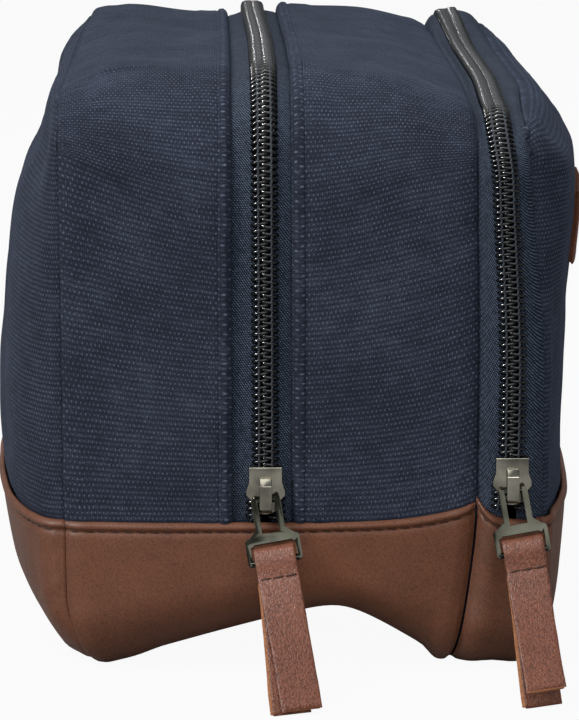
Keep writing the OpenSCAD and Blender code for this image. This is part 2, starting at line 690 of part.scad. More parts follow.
module cross_pin(r, length) {
    rotate([0, 90, 0]) cylinder(r = r, h = length, center = true);
}

bar_r = 0.85;
loop_wire = 1.25;
crossbar_half = 1.25;
crossbar_rise = 2.4;

// Half of the ring's outline, below its pivot: an upper loop, a crossbar and a wider lower loop
module ring_half() {
    top_w = ring_top_w / 2;
    low_w = ring_low_w / 2;
    corner = low_w - loop_wire;
    translate([top_w - ring_t, -crossbar_drop]) square([ring_t, crossbar_drop]);
    translate([top_w - pin_r, 0]) circle(pin_r);
    polygon([
        [0, -crossbar_drop - crossbar_half], [corner, -crossbar_drop - crossbar_half],
        [corner, -crossbar_drop + crossbar_half / 2], [top_w, -crossbar_drop + crossbar_rise],
        [top_w - ring_t / 3, -crossbar_drop + crossbar_half], [0, -crossbar_drop + crossbar_half]
    ]);
    translate([corner, -crossbar_drop - crossbar_half / 2]) circle(loop_wire);
    translate([corner, -ring_drop]) square([loop_wire, ring_drop - crossbar_drop - crossbar_half / 2]);
    translate([low_w - loop_wire / 2, -ring_drop]) circle(loop_wire / 2);
}

module ring_outline() {
    for (side = [-1, 1])
        scale([side, 1]) ring_half();
}

module pull_ring(bay) {
    color(gunmetal) at_pivot(bay) {
        linear_extrude(ring_t, center = true) ring_outline();
        cross_pin(pin_r, ring_top_w - ring_t);
        translate([0, -ring_drop, 0]) cross_pin(bar_r, ring_low_w - loop_wire);
    }
}

// Middle line of the folded strip, seen from its edge: [along, outwards] from the ring's lower bar
ply_half = tab_t / 2 + 0.05;
loop_r = bar_r + running_gap + tab_t / 2;
loop_top = loop_h - tab_t / 2 - loop_r;
sewn_at = -4.8;
function strip_half(y) = ply_half + (loop_r - ply_half) * ease(y, sewn_at + 0.4, loop_top - 0.6);
function strip_path(splay, front_l) =
    concat(
        [for (f = [1, 0.8, 0.6, 0.4, 0.2, 0.04]) [sewn_at - (front_l + sewn_at) * f, ply_half + splay * f * f]],
        [for (f = steps(5)) let (y = sewn_at + (loop_top - sewn_at) * f) [y, strip_half(y)]],
        [for (f = [1 : 7]) [loop_top + loop_r * sin(22.5 * f), loop_r * cos(22.5 * f)]],
        [for (f = steps(5)) let (y = loop_top + (sewn_at - loop_top) * f) [y, -strip_half(y)]],
        [[-tab_l, -ply_half]]
    );
function path_side(path, i) =
    let (d = unit(path[min(i + 1, len(path) - 1)] - path[max(i - 1, 0)])) [-d[1], d[0]];
function path_offset(path, distance) =
    [for (i = [0 : len(path) - 1]) path[i] + distance * path_side(path, i)];
function flipped(list) = [for (i = [len(list) - 1 : -1 : 0]) list[i]];

module pull_tab(bay, splay) {
    path = strip_path(splay, tab_l - splay / 4);
    color(tab_brown) at_pivot(bay) translate([-tab_w / 2, -ring_drop, 0]) rotate([90, 0, 90]) linear_extrude(tab_w)
        polygon(concat(path_offset(path, tab_t / 2), flipped(path_offset(path, -tab_t / 2))));
}

module tab_stitch(bay) {
    stitch_l = 2.6;
    pitch = 3.4;
    face = ply_half + tab_t / 2 + stitch_gap;
    color(thread_brown) at_pivot(bay) for (k = [-1, 0, 1], z = [face, -face - stitch_rise])
        translate([k * pitch - stitch_l / 2, -ring_drop + sewn_at - thread_t / 2, z])
            cube([stitch_l, thread_t, stitch_rise]);
}

module main_zip_pull_ring() pull_ring(MAIN);
module main_zip_pull_tab() pull_tab(MAIN, main_splay);
module main_zip_tab_stitch() tab_stitch(MAIN);
module front_zip_pull_ring() pull_ring(FRONT);
module front_zip_pull_tab() pull_tab(FRONT, front_splay);
module front_zip_tab_stitch() tab_stitch(FRONT);

back_panel_canvas();
back_panel_leather();
main_gusset_canvas_rear();
main_gusset_canvas_front();
main_base_leather();
front_panel_canvas();
front_panel_leather();
front_base_leather();
divider_panel();
main_lining_gusset();
main_lining_back();
front_lining_gusset();
front_lining_panel();
back_seam_binding();
divider_seam_binding();
front_seam_binding();
leather_patch();
patch_stitching();
base_edge_stitching();
main_zip_stitching();
main_zip_tape_rear();
main_zip_tape_front();
main_zip_coil_rear();
main_zip_coil_front();
main_zip_slider();
main_zip_slider_bridge();
main_zip_pull_ring();
main_zip_pull_tab();
main_zip_tab_stitch();
front_zip_tape_rear();
front_zip_tape_front();
front_zip_coil_rear();
front_zip_coil_front();
front_zip_slider();
front_zip_slider_bridge();
front_zip_pull_ring();
front_zip_pull_tab();
front_zip_tab_stitch();
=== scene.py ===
import math
import bmesh
import bpy
from mathutils import Matrix, Vector, noise


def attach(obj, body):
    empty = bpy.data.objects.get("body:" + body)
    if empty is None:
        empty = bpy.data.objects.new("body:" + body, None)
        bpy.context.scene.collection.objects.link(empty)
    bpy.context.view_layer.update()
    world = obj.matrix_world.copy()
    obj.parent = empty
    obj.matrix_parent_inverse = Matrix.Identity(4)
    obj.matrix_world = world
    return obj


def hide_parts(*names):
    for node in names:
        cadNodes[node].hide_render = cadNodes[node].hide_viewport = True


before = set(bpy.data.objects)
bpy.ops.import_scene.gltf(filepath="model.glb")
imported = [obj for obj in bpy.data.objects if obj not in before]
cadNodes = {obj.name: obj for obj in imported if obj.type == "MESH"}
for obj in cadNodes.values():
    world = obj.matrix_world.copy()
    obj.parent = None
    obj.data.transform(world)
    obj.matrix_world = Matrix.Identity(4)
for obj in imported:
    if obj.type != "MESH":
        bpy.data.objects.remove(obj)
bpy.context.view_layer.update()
mm = 0.001

# The camera stands before the end with the pulls and looks a little down on it.
view = {
    "target": (-125, 3.9, 89.2),  # mm
    "distance": 776,
    "down": 12.04,  # degrees
    "turn": 1.3,
    "lens": 146.66,
}
down, turn = math.radians(view["down"]), math.radians(view["turn"])
looking = Vector((math.cos(down) * math.cos(turn), -math.cos(down) * math.sin(turn), -math.sin(down)))
camera = bpy.data.objects.new("camera", bpy.data.cameras.new("camera"))
bpy.context.scene.collection.objects.link(camera)
camera.data.lens = view["lens"]
camera.data.sensor_width = 36
camera.data.clip_start = 0.05
camera.location = (Vector(view["target"]) - looking * view["distance"]) * mm
camera.rotation_mode = "QUATERNION"
camera.rotation_quaternion = looking.to_track_quat("-Z", "Y")
bpy.context.scene.camera = camera


def clamp(v, low=0.0, high=1.0):
    return max(low, min(high, v))


def ease(v, low, high):  # 0 below low, 1 above high
    k = clamp((v - low) / (high - low))
    return k * k * (3 - 2 * k)


def bump(d, width):
    return math.exp(-(d / width) ** 2)


def wander(x, y, seed):  # smooth noise, about -0.6 to 0.6
    return noise.noise(Vector((x, y, seed * 7.31)))


def spread(start, stop, count):
    return [start + (stop - start) * i / count for i in range(count + 1)]


# Places from start to stop, close together at the ends where a seam or a fold needs them.
closeSteps = [0, 0.12, 0.3, 0.55, 0.85, 1.2, 1.6, 1.85, 2.1, 2.35, 2.8, 3.4, 4.2, 5.2, 6.4, 8]


def graded(start, stop, step, fineStart=True, fineStop=True):
    length = stop - start
    head = [d for d in closeSteps if fineStart and d < length * 0.45] or [0]
    tail = [d for d in closeSteps if fineStop and d < length * 0.45] or [0]
    gap = length - head[-1] - tail[-1]
    count = max(1, round(gap / step))
    middle = spread(head[-1], length - tail[-1], count)[1:-1]
    return [start + d for d in head + middle + [length - t for t in reversed(tail)]]


class Wire:  # one socket that takes part in sums
    def __init__(self, finish, socket):
        self.finish, self.socket = finish, socket

    def maths(self, operation, *terms):
        return self.finish.node("Math", {"operation": operation}, dict(enumerate(terms)))

    def __add__(self, other):
        return self.maths("ADD", self, other)

    def __sub__(self, other):
        return self.maths("SUBTRACT", self, other)

    def __rsub__(self, other):
        return self.maths("SUBTRACT", other, self)

    def __mul__(self, other):
        return self.maths("MULTIPLY", self, other)

    def __truediv__(self, other):
        return self.maths("DIVIDE", self, other)

    def __pow__(self, other):
        return self.maths("POWER", self, other)

    def __mod__(self, other):
        return self.maths("FLOORED_MODULO", self, other)

    __radd__ = __add__
    __rmul__ = __mul__


class Finish:  # a material and the nodes in it
    def __init__(self, name, **steady):
        self.material = bpy.data.materials.new(name)
        self.material.use_nodes = True
        self.tree = self.material.node_tree
        self.shader = self.tree.nodes["Principled BSDF"]
        for socket, value in steady.items():
            self.shader.inputs[socket.replace("_", " ")].default_value = value

    def node(self, kind, settings, sockets, out=0):
        made = self.tree.nodes.new("ShaderNode" + kind)
        for key, value in settings.items():
            setattr(made, key, value)
        for key, value in sockets.items():
            self.fill(made.inputs[key], value)
        return Wire(self, made.outputs[out])

    def fill(self, socket, value):
        if isinstance(value, Wire):
            self.tree.links.new(value.socket, socket)
        else:
            socket.default_value = value

    def feed(self, name, value):
        self.fill(self.shader.inputs[name], value)

    def sine(self, value):
        return self.node("Math", {"operation": "SINE"}, {0: value})

    def floor(self, value):
        return self.node("Math", {"operation": "FLOOR"}, {0: value})

    def split(self, vector):  # the parts of a vector
        first = self.node("SeparateXYZ", {}, {0: vector})
        return [Wire(self, socket) for socket in first.socket.node.outputs]

    def dice(self, a, b, seed=0.0):  # a random value for each cell
        cell = self.node("CombineXYZ", {}, {0: a, 1: b, 2: seed})
        return self.node("TexWhiteNoise", {}, {"Vector": cell})

    def between(self, value, low, high):  # 0 below low, 1 above high
        return self.node("MapRange", {"interpolation_type": "SMOOTHSTEP"}, {0: value, 1: low, 2: high})

    def mix(self, amount, a, b):
        return self.node("Mix", {"data_type": "RGBA"}, {0: amount, 6: a, 7: b}, 2)

    def place(self, attribute=None):  # the piece's own map, or Object coordinates
        if attribute:
            return self.node("UVMap", {"uv_map": attribute}, {})
        return self.node("TexCoord", {}, {}, 3)

    def stretched(self, where, scale):
        return self.node("Mapping", {}, {0: where, 3: scale})

    def cloud(self, where, scale, detail=2.0, rough=0.5):
        sockets = {"Vector": where, "Scale": scale, "Detail": detail, "Roughness": rough}
        return self.node("TexNoise", {}, sockets)

    def cells(self, where, scale):
        return self.node("TexVoronoi", {"feature": "SMOOTH_F1"}, {"Vector": where, "Scale": scale})

    def relief(self, height, distance, strength):
        sockets = {"Strength": strength, "Distance": distance, "Height": height}
        self.feed("Normal", self.node("Bump", {}, sockets))


def hexColour(code):
    parts = [int(code[i:i + 2], 16) / 255 for i in (1, 3, 5)]
    return (*[v / 12.92 if v <= 0.04045 else ((v + 0.055) / 1.055) ** 2.4 for v in parts], 1)


def tones(look):
    return hexColour(look["deep"]), hexColour(look["high"])


# Woven cloth: warp dots stand over a flatter weft, with painted highlights on their crowns, some paler at
# random, and painted shade between the yarns.
def wovenFinish(name, look):
    cloth = Finish(name, Sheen_Weight=look["sheen"], Sheen_Roughness=0.4, Specular_IOR_Level=0.05,
                   Sheen_Tint=(0.42, 0.55, 0.85, 1))
    where = cloth.place("Weave")
    slow, quick = cloth.cloud(where, 120, 2.0), cloth.cloud(where, 620, 1.0)
    x, y, _ = cloth.split(where)
    nudge = (slow - 0.5) * look["drift"] * mm + (quick - 0.5) * look["drift"] * 0.35 * mm
    u, v = (x + nudge) / (look["warp"] * mm), (y + nudge * 0.8) / (look["weft"] * mm)
    lu, lv = cloth.floor(u), cloth.floor(v)
    over = (lu + lv) % 2
    domeU, domeV = cloth.sine((u - lu) * math.pi), cloth.sine((v - lv) * math.pi)
    chance, other = cloth.dice(lu, lv), cloth.dice(lv, cloth.floor(u * 0.14), 4.0)
    fuzz = cloth.cloud(where, 2300, 2.0, 0.6)
    patches = cloth.cloud(where, 38, 3.0, 0.6)
    slubs = cloth.cloud(cloth.stretched(where, (0.5, 1, 1)), look["slub"], 3.0, 0.7)
    warpYarn = (domeU ** 1.3) * (domeV ** 3.0) * over
    weftYarn = (domeV ** 0.8) * (domeU * 0.4 + 0.6) * (1 - over)
    height = warpYarn + weftYarn * 0.5
    # painted highlight: the warp dots' crowns are made lighter, by a random amount for each
    paintedHighlight = warpYarn * (chance * 0.45 + 0.65)
    # painted shade: the colour darkens where the yarns dip, between the dots and along the weft
    shade = paintedHighlight * 0.7 + weftYarn * (other * 0.16 + 0.08) + (fuzz - 0.5)
    shade = shade + (patches - 0.5) * 0.5 + (slubs - 0.5) * 0.45
    base = cloth.mix(cloth.between(shade, -0.1, 0.75), *tones(look))
    # mask of the pale painted highlight on the warp crowns
    paintedHighlightMask = cloth.between(paintedHighlight + (fuzz - 0.5) * 0.5, 0.45, 1.05)
    cloth.feed("Base Color", cloth.mix(paintedHighlightMask * look["paintedHighlightAmount"], base, hexColour(look["paintedHighlight"])))
    cloth.feed("Roughness", 0.95 - paintedHighlightMask * 0.1)
    cloth.relief(height + (fuzz - 0.5) * 0.35 + (chance - 0.5) * 0.2, look["relief"] * mm, 0.85)
    return cloth.material


# Zip tape: fine ribs on a slant, crossed by picks, their crests painted lighter as highlight and the grooves
# between them darker as painted shade, with random tone.
def twillFinish(name, look):
    cloth = Finish(name, Specular_IOR_Level=0.05)
    where = cloth.place("Weave")
    slow = cloth.cloud(where, 300, 2.0)
    x, y, _ = cloth.split(where)
    u = (x + (slow - 0.5) * 0.3 * mm) / (look["pitch"] * mm)
    v = (y + (slow - 0.5) * 0.2 * mm) / (look["pitch"] * mm)
    slant = u + v * 0.7
    rib = cloth.sine(slant * 2 * math.pi) * 0.5 + 0.5
    picks = cloth.sine((v - u * 0.12) * 2.3 * math.pi) * 0.5 + 0.5
    chance = cloth.dice(cloth.floor(slant), cloth.floor(v * 1.15))
    fuzz = cloth.cloud(where, 2400, 1.0)
    broad = cloth.cloud(where, 60, 2.0)
    height = rib * (picks * 0.7 + 0.3)
    # painted light and shade: the colour follows the ribs' height, with a random tone for each rib
    shade = (rib ** 1.4) * (picks * 0.75 + 0.25) * (chance * 0.7 + 0.55)
    shade = shade + (fuzz - 0.5) * 0.5 + (broad - 0.5) * 0.25
    cloth.feed("Base Color", cloth.mix(cloth.between(shade, 0.02, 0.9), *tones(look)))
    cloth.feed("Roughness", 0.7 + (fuzz - 0.5) * 0.2)
    cloth.relief(height + (fuzz - 0.5) * 0.3, look["relief"] * mm, 0.9)
    return cloth.material


def leatherFinish(name, look):
    hide = Finish(name, Specular_IOR_Level=look["gloss"])
    where = hide.place()
    wrinkled = hide.cloud(where, look["grain"] * 0.35, 2.0)
    bent = hide.node("Mix", {"data_type": "VECTOR"}, {0: 0.0012, 4: where, 5: wrinkled}, 1)
    pebble = hide.cells(hide.stretched(bent, (1, 1, look["stretch"])), look["grain"])
    pores = hide.cloud(where, look["grain"] * 1.7, 2.0, 0.65)
    broad = hide.cloud(where, 22, 3.0, 0.6)
    middle = hide.cloud(where, 190, 3.0, 0.6)
    height = (1 - pebble) * look["pebble"] + (pores - 0.5) * 0.6 + (middle - 0.5) * 0.5
    shade = (broad - 0.5) * 0.6 + (middle - 0.5) * 0.15 + (pores - 0.5) * 0.6
    # painted shade: the creases between the grain's pebbles are darker
    shade = shade + (0.42 - pebble) * look["crease"] + 0.5
    hide.feed("Base Color", hide.mix(hide.between(shade, 0, 1), *tones(look)))
    hide.feed("Roughness", look["rough"] + (pores - 0.5) * 0.3 + (pebble - 0.4) * 0.15)
    hide.relief(height, look["relief"] * mm, 0.85)
    return hide.material


def threadFinish(name, look):
    thread = Finish(name, Specular_IOR_Level=0.2)
    where = thread.place()
    strands = thread.cloud(where, 2400, 1.0)
    bands = {"wave_type": "BANDS", "bands_direction": "DIAGONAL"}
    ply = thread.node("TexWave", bands, {"Vector": where, "Scale": 900, "Distortion": 1.5}, 1)
    # the ply's twist: painted highlight on its crests and painted shade in its grooves, matching the relief
    thread.feed("Base Color", thread.mix(ply * 0.6 + (strands - 0.5) * 0.6 + 0.2, *tones(look)))
    thread.feed("Roughness", 0.75 + (strands - 0.5) * 0.2)
    thread.relief(ply, 0.08 * mm, 0.7)
    return thread.material


def nylonFinish(name, look):
    nylon = Finish(name, Specular_IOR_Level=0.4)
    where = nylon.place()
    smear = nylon.cloud(where, 900, 2.0)
    dust = nylon.cloud(where, 160, 3.0, 0.7)
    nylon.feed("Base Color", nylon.mix(nylon.between(dust, 0.45, 0.85), *tones(look)))
    nylon.feed("Roughness", look["rough"] + (smear - 0.5) * 0.12)
    nylon.relief(smear, 0.02 * mm, 0.4)
    return nylon.material


def metalFinish(name, look):
    metal = Finish(name, Specular_IOR_Level=0.5)
    where = metal.place()
    brushed = metal.cloud(metal.stretched(where, (500, 500, 3000)), 1.0, 2.0, 0.6)
    tarnish = metal.cloud(where, 130, 2.0)
    wave = metal.cloud(where, 75, 1.0)
    metal.feed("Base Color", metal.mix(metal.between(tarnish, 0.25, 0.75), *tones(look)))
    metal.feed("Metallic", 1.0)
    metal.feed("Roughness", look["rough"] + (brushed - 0.5) * 0.08 + (tarnish - 0.5) * 0.06)
    metal.relief(wave + brushed * 0.01, 0.5 * mm, 0.35)
    return metal.material


# Lengths of a weave and depths of relief are in mm, and a larger grain is a finer one.
# speck and specks are the colour and amount of the painted highlights on the warp crowns.
canvasLook = {"warp": 0.57, "weft": 1.32, "drift": 0.55, "deep": "#1c202a", "high": "#454b5c",
              "paintedHighlight": "#6f7482", "paintedHighlightAmount": 0.27, "relief": 0.12, "sheen": 0.045, "slub": 330}
liningLook = {"warp": 0.45, "weft": 0.5, "drift": 0.3, "deep": "#232838", "high": "#4b5266",
              "paintedHighlight": "#6d7488", "paintedHighlightAmount": 0.3, "relief": 0.1, "sheen": 0.03, "slub": 330}
bindingLook = {"warp": 0.7, "weft": 0.6, "drift": 0.3, "deep": "#0b0c0f", "high": "#25272c",
               "paintedHighlight": "#3c3f46", "paintedHighlightAmount": 0.3, "relief": 0.2, "sheen": 0.03, "slub": 330}
tapeLook = {"pitch": 0.72, "deep": "#151a23", "high": "#4d5869", "relief": 0.08}
# crease is how much painted shade darkens the creases between the grain's pebbles.
baseLook = {"grain": 2400, "stretch": 0.9, "pebble": 0.5, "crease": 0.45, "gloss": 0.17, "rough": 0.5,
            "relief": 0.08, "deep": "#3a2318", "high": "#744833"}
tabLook = {"grain": 2200, "stretch": 0.55, "pebble": 1.1, "crease": 0.65, "gloss": 0.25, "rough": 0.45,
           "relief": 0.2, "deep": "#42231a", "high": "#84503b"}
edgeLook = {"grain": 2200, "stretch": 1, "pebble": 0.6, "crease": 0.5, "gloss": 0.15, "rough": 0.8,
            "relief": 0.1, "deep": "#75432a", "high": "#c4875c"}
nylonLook = {"deep": "#07080a", "high": "#15171b", "rough": 0.18}
sliderLook = {"deep": "#6b685e", "high": "#a8a496", "rough": 0.17}
ringLook = {"deep": "#24241f", "high": "#3b3b34", "rough": 0.15}

canvas = wovenFinish("navyCanvas", canvasLook)
lining = wovenFinish("liningCloth", liningLook)
bindingCloth = wovenFinish("bindingTape", bindingLook)
zipTape = twillFinish("zipTape", tapeLook)
baseHide = leatherFinish("baseLeather", baseLook)
tabHide = leatherFinish("tabLeather", tabLook)
cutEdge = leatherFinish("cutLeatherEdge", edgeLook)
# brown thread, darker than the leather: partly its own colour, partly painted shade of the shadow round the
# stitches
brownThreadWithPaintedShade = threadFinish("brownThreadWithPaintedShade", {"deep": "#1d0f09", "high": "#4b2c1f"})
navyThread = threadFinish("navyThread", {"deep": "#141823", "high": "#333a4a"})
coilThread = threadFinish("coilThread", {"deep": "#0d1014", "high": "#39414a"})
nylon = nylonFinish("blackNylon", nylonLook)
gunmetal = metalFinish("gunmetal", sliderLook)
darkWire = metalFinish("darkGunmetal", ringLook)
print("finishes made")


# The bag's form, in mm. The end with the pulls is at -x, and the front bay at -y.
bag = {
    "length": 244,
    "mainBay": 111,
    "frontBay": 17.5,
    "seamHeight": 159,
    "baseRadius": 16,
    "topRadius": 15,
    "leatherHeight": 43.8,
    "leatherHorn": 4.8,  # the leather's edge climbs this much to the divider's seam
    "dividerThick": 1.6,
    "canvasDepth": 1.5,
    "canvasThick": 1.2,
    "leatherThick": 1.4,
    "flatHalf": 40,  # the base lies flat this far from its middle
    "underlap": 8,
    "edgeStitch": 2.8,
    "endCrown": 3.5,
}
seamX = bag["length"] / 2 - bag["endCrown"]
backY = (bag["mainBay"] + bag["frontBay"]) / 2
dividerY = backY - bag["mainBay"]
frontY = dividerY - bag["frontBay"]
foot = {"back": 7, "backHigh": 25, "divider": 6, "dividerHigh": 45}  # how the seams draw in at the ground


def backSeam(z):
    return backY - foot["back"] * clamp(1 - z / foot["backHigh"]) ** 2


def dividerSeam(z):
    return dividerY + foot["divider"] * clamp(1 - z / foot["dividerHigh"]) ** 1.5


seamHalf, halfWall = 0.05, 0.3  # the seams close as far as the eye can see
bays = {
    "main": {"rear": lambda z: backSeam(z) - seamHalf, "front": lambda z: dividerSeam(z) + halfWall,
             "wide": backY - seamHalf - dividerY - halfWall, "power": 3.2, "swell": 2,
             "endCrown": bag["endCrown"], "topCrown": 4.5, "topMid": 33, "baseMid": 24, "arch": 20,
             "zipY": 10.25, "tunnel": 1.5, "seed": 3},
    "front": {"rear": lambda z: dividerSeam(z) - halfWall, "front": lambda z: frontY + seamHalf,
              "wide": dividerY - halfWall - frontY - seamHalf, "power": 4, "swell": 4,
              "endCrown": 1.8, "topCrown": 1.8, "topMid": 21, "baseMid": 16, "arch": 0,
              "zipY": -55.9, "tunnel": 1.2, "seed": 11},
}
for form in bays.values():
    form["zip"] = form["rear"](100) - form["zipY"]
mainZip, frontZip = bays["main"]["zip"], bays["front"]["zip"]
mainWide, frontWide = bays["main"]["wide"], bays["front"]["wide"]


def crown(bay, t):  # t goes from 0 at a gusset's rear seam to 1 at its front seam
    return 1 - abs(2 * t - 1) ** bays[bay]["power"]


def swell(bay, t):
    return 1 - abs(2 * t - 1) ** bays[bay]["swell"]


def gussetForm(bay, t):  # end, top, radius at the top, radius at the base and the leather's edge
    form = bays[bay]
    rise = t ** 10 if bay == "main" else 1.2 * (1 - t) ** 5
    return (seamX + form["endCrown"] * crown(bay, t), bag["seamHeight"] + form["topCrown"] * crown(bay, t),
            bag["topRadius"] + (form["topMid"] - bag["topRadius"]) * swell(bay, t),
            bag["baseRadius"] + (form["baseMid"] - bag["baseRadius"]) * swell(bay, t),
            bag["leatherHeight"] + bag["leatherHorn"] * rise)


# How far the top corners by the pulls lean to the rear.
lean = {"divider": 1.0, "front": 4.5, "near": (25, 112), "high": (80, 152)}


def leaning(bay, t, x, z):
    near = ease(-x, *lean["near"]) * ease(z, *lean["high"])
    if bay == "main":
        return near * (lean["divider"] * t ** 3)
    return near * (lean["divider"] + (lean["front"] - lean["divider"]) * t)


# The far top stands higher along its rear seam, and sags before the zip.
farTop = {"reach": (-40, 70), "rise": 2.2, "riseWidth": 10, "sag": 1.8, "sagAt": 44, "sagWidth": 18,
          "high": (130, 158)}


def rearRise(gap, x):
    rise = farTop["rise"] * bump(gap, farTop["riseWidth"])
    sag = farTop["sag"] * bump(gap - farTop["sagAt"], farTop["sagWidth"])
    return ease(x, *farTop["reach"]) * (rise - sag)


# How the filled bag has settled: the front bay's top slumps, and its zip lies in a dip that fills up at
# the far end. A pair is where a change begins and where it is complete.
settle = {
    "near": 5.0,
    "far": 3.0,
    "dip": 4.5,
    "dipBack": 1.2,
    "mainBack": 1.5,
    "farUp": 1.0,
    "farFront": 2.5,
    "farBack": 2.5,
    "high": (95, 158),
    "top": (138, 162),
    "length": (-110, 90),
    "farEnd": (30, 105),
    "frontBay": (22, 52),
    "besideZip": (3.5, 10),
    "frontSeam": (55, 64),
    "mainZipWide": 8,
    "mainEnd": (-40, 90),
    "mainHigh": (125, 160),
}


def settled(v):
    high = ease(v.z, *settle["high"])
    if not high:
        return v
    top, distant = ease(v.z, *settle["top"]), ease(v.x, *settle["farEnd"])
    half = ease(v.x, *settle["length"])
    slump = (settle["near"] * (1 - half) + settle["far"] * half) * ease(-v.y, *settle["frontBay"]) * high
    frontZipY = bays["front"]["zipY"] + leaning("front", 0.5, v.x, v.z)
    byFrontZip = (1 - ease(abs(v.y - frontZipY), *settle["besideZip"])) * top
    dip = byFrontZip * (1 - distant)
    seamRise = settle["farFront"] * ease(-v.y, *settle["frontSeam"])
    rise = distant * high * (settle["farUp"] * byFrontZip + seamRise)
    back = settle["dipBack"] * dip + settle["farBack"] * byFrontZip * distant
    byMainZip = bump(v.y - bays["main"]["zipY"], settle["mainZipWide"])
    back += settle["mainBack"] * byMainZip * ease(v.x, *settle["mainEnd"]) * ease(v.z, *settle["mainHigh"])
    return Vector((v.x, v.y + back, v.z - slump - settle["dip"] * dip + rise))


# At both ends the main bay's base rises between its seams to a soft peak, past the middle.
peak = {"start": 0.06, "rise": 0.64, "fall": 0.3, "soft": 0.12, "rearEdge": 0.2, "foreEdge": 0.08}


def archShape(t):
    rise, fall = (t - peak["start"]) / peak["rise"], (1.0 - t) / peak["fall"]
    level = max(0, (rise + fall - math.sqrt((rise - fall) ** 2 + peak["soft"])) / 2)
    return level * ease(t, 0, peak["rearEdge"]) * ease(1 - t, 0, peak["foreEdge"])


# A place on a gusset. Its run goes round the bag: 0 is the middle of the base, 3 the leather's edge and
# 6 the middle of the top, below 0 on the end with the pulls. A pair (side, below) is a distance below the
# leather's edge. It gives the point, the way out, the way along, the gaps to both seams and the run's zone.
def gussetSpot(bay, across, run):
    form = bays[bay]
    t = across / form["wide"]
    ex, tz, rt, rb, line = gussetForm(bay, t)
    if isinstance(run, tuple):
        side, below = run
        zone = 2.5
        x, z, nx, nz = ex, line - below, 1, 0
    else:
        side, q = (-1 if run < 0 else 1), abs(run)
        zone = min(int(q), 5)
        f = q - zone
        a = f * math.pi / 2
        if zone == 0:
            x, z, nx, nz = (ex - rb) * f, 0, 0, -1
        elif zone == 1:
            x, z, nx, nz = ex - rb + rb * math.sin(a), rb - rb * math.cos(a), math.sin(a), -math.cos(a)
        elif zone == 2:
            x, z, nx, nz = ex, rb + (line - rb) * f, 1, 0
        elif zone == 3:
            x, z, nx, nz = ex, line + (tz - rt - line) * f, 1, 0
        elif zone == 4:
            x, z, nx, nz = ex - rt + rt * math.cos(a), tz - rt + rt * math.sin(a), math.cos(a), math.sin(a)
        else:
            x, z, nx, nz = (ex - rt) * (1 - f), tz, 0, 1
    rear, fore = form["rear"](max(0, z)), form["front"](max(0, z))
    y = rear + (fore - rear) * t
    lift = 0
    if bay == "main":
        ends = ease(x, bag["flatHalf"], ex) * clamp(1 - z / bag["leatherHeight"]) ** 1.5
        lift = form["arch"] * archShape(t) * ends
        lift += rearRise(rear - y, side * x) * ease(z, *farTop["high"])
    y += leaning(bay, t, side * x, z)
    along = gussetLength(bay, run)
    normal = Vector((side * nx, 0, nz))
    return Vector((side * x, y, z + lift)), normal, along, across, form["wide"] - across, zone


def gussetLength(bay, run):  # way along the middle of a gusset, from the middle of the top
    ex, tz, rt, rb, line = gussetForm(bay, 0.5)
    parts = [ex - rb, math.pi / 2 * rb, line - rb, tz - rt - line, math.pi / 2 * rt, ex - rt]
    if isinstance(run, tuple):
        side, below = run
        return side * (sum(parts[3:]) + below)
    q = abs(run)
    way = sum(parts[k] * clamp(q - k) for k in range(6))
    return (-1 if run < 0 else 1) * (sum(parts) - way)


folds = {
    "crease": 0.8,  # depth of the seams
    "creaseWidth": 0.9,
    "ridge": 0.5,  # allowance showing through beside a seam
    "ridgeAt": 4.4,
    "ridgeWidth": 2.6,
    "pucker": 0.5,
    "puckerLength": 5.5,
    "puckerReach": 5.5,
    "soft": 0.9,
    "topPuff": 2.0,
    "topPuffAt": 13,
    "topPuffWidth": 12,
}
cornerTight = {1: 1.25, 4: 1.9, 5: 1.25}  # the seams pucker more in these zones of a gusset


def seamRelief(d, along, seed, tight=1.0):
    dip = -folds["crease"] * bump(d, folds["creaseWidth"])
    ridge = folds["ridge"] * bump(d - folds["ridgeAt"], folds["ridgeWidth"])
    ridge = ridge * (1 + 0.5 * wander(along / 23, 0, seed))
    pucker = folds["pucker"] * tight * wander(along / folds["puckerLength"], d / 30, seed + 1)
    pucker = pucker * math.exp(-d / folds["puckerReach"])
    return dip + ridge + pucker * ease(d, 0, 1.5)


def softRelief(a, b, seed):
    return folds["soft"] * (wander(a / 46, b / 34, seed) + 0.35 * wander(a / 17, b / 19, seed + 2))


def gussetRelief(bay, along, rearGap, foreGap, zone, amount=1.0):
    seed = bays[bay]["seed"]
    tight = cornerTight.get(zone, 1.0)
    lift = seamRelief(rearGap, along, seed, tight) + seamRelief(foreGap, along, seed + 5, tight)
    free = ease(min(rearGap, foreGap), 1, 12)
    lift += softRelief(along, rearGap, seed + 9) * free * amount
    if bay == "main" and zone >= 4:
        puff = folds["topPuff"] * bump(rearGap - folds["topPuffAt"], folds["topPuffWidth"])
        lift += puff * free * ease(zone, 3.5, 4.5)
    return lift


def tunnel(bay, normal):  # the chain stands up along the top
    return bays[bay]["tunnel"] * max(0, normal.z) ** 2


def underLeather(below):
    return ease(below, -0.6, 1.6)


def pressed(lift, under, depth=1.0):  # what lies under the leather is held down by it
    return lift * (1 - under) - depth * under


def tucked(run):  # 1 where a gusset's cloth lies under the leather
    return underLeather(run[1] if isinstance(run, tuple) else -9)


def finishPiece(name, bm, finishes, stands, body):
    if body == "bag":
        for v in bm.verts:
            v.co = settled(v.co / mm) * mm
    mesh = bpy.data.meshes.new(name)
    bm.to_mesh(mesh)
    bm.free()
    for finish in finishes:
        mesh.materials.append(finish)
    mesh.shade_smooth()
    piece = bpy.data.objects.new(name, mesh)
    bpy.context.scene.collection.objects.link(piece)
    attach(piece, body)
    if stands:
        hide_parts(*stands)
    return piece


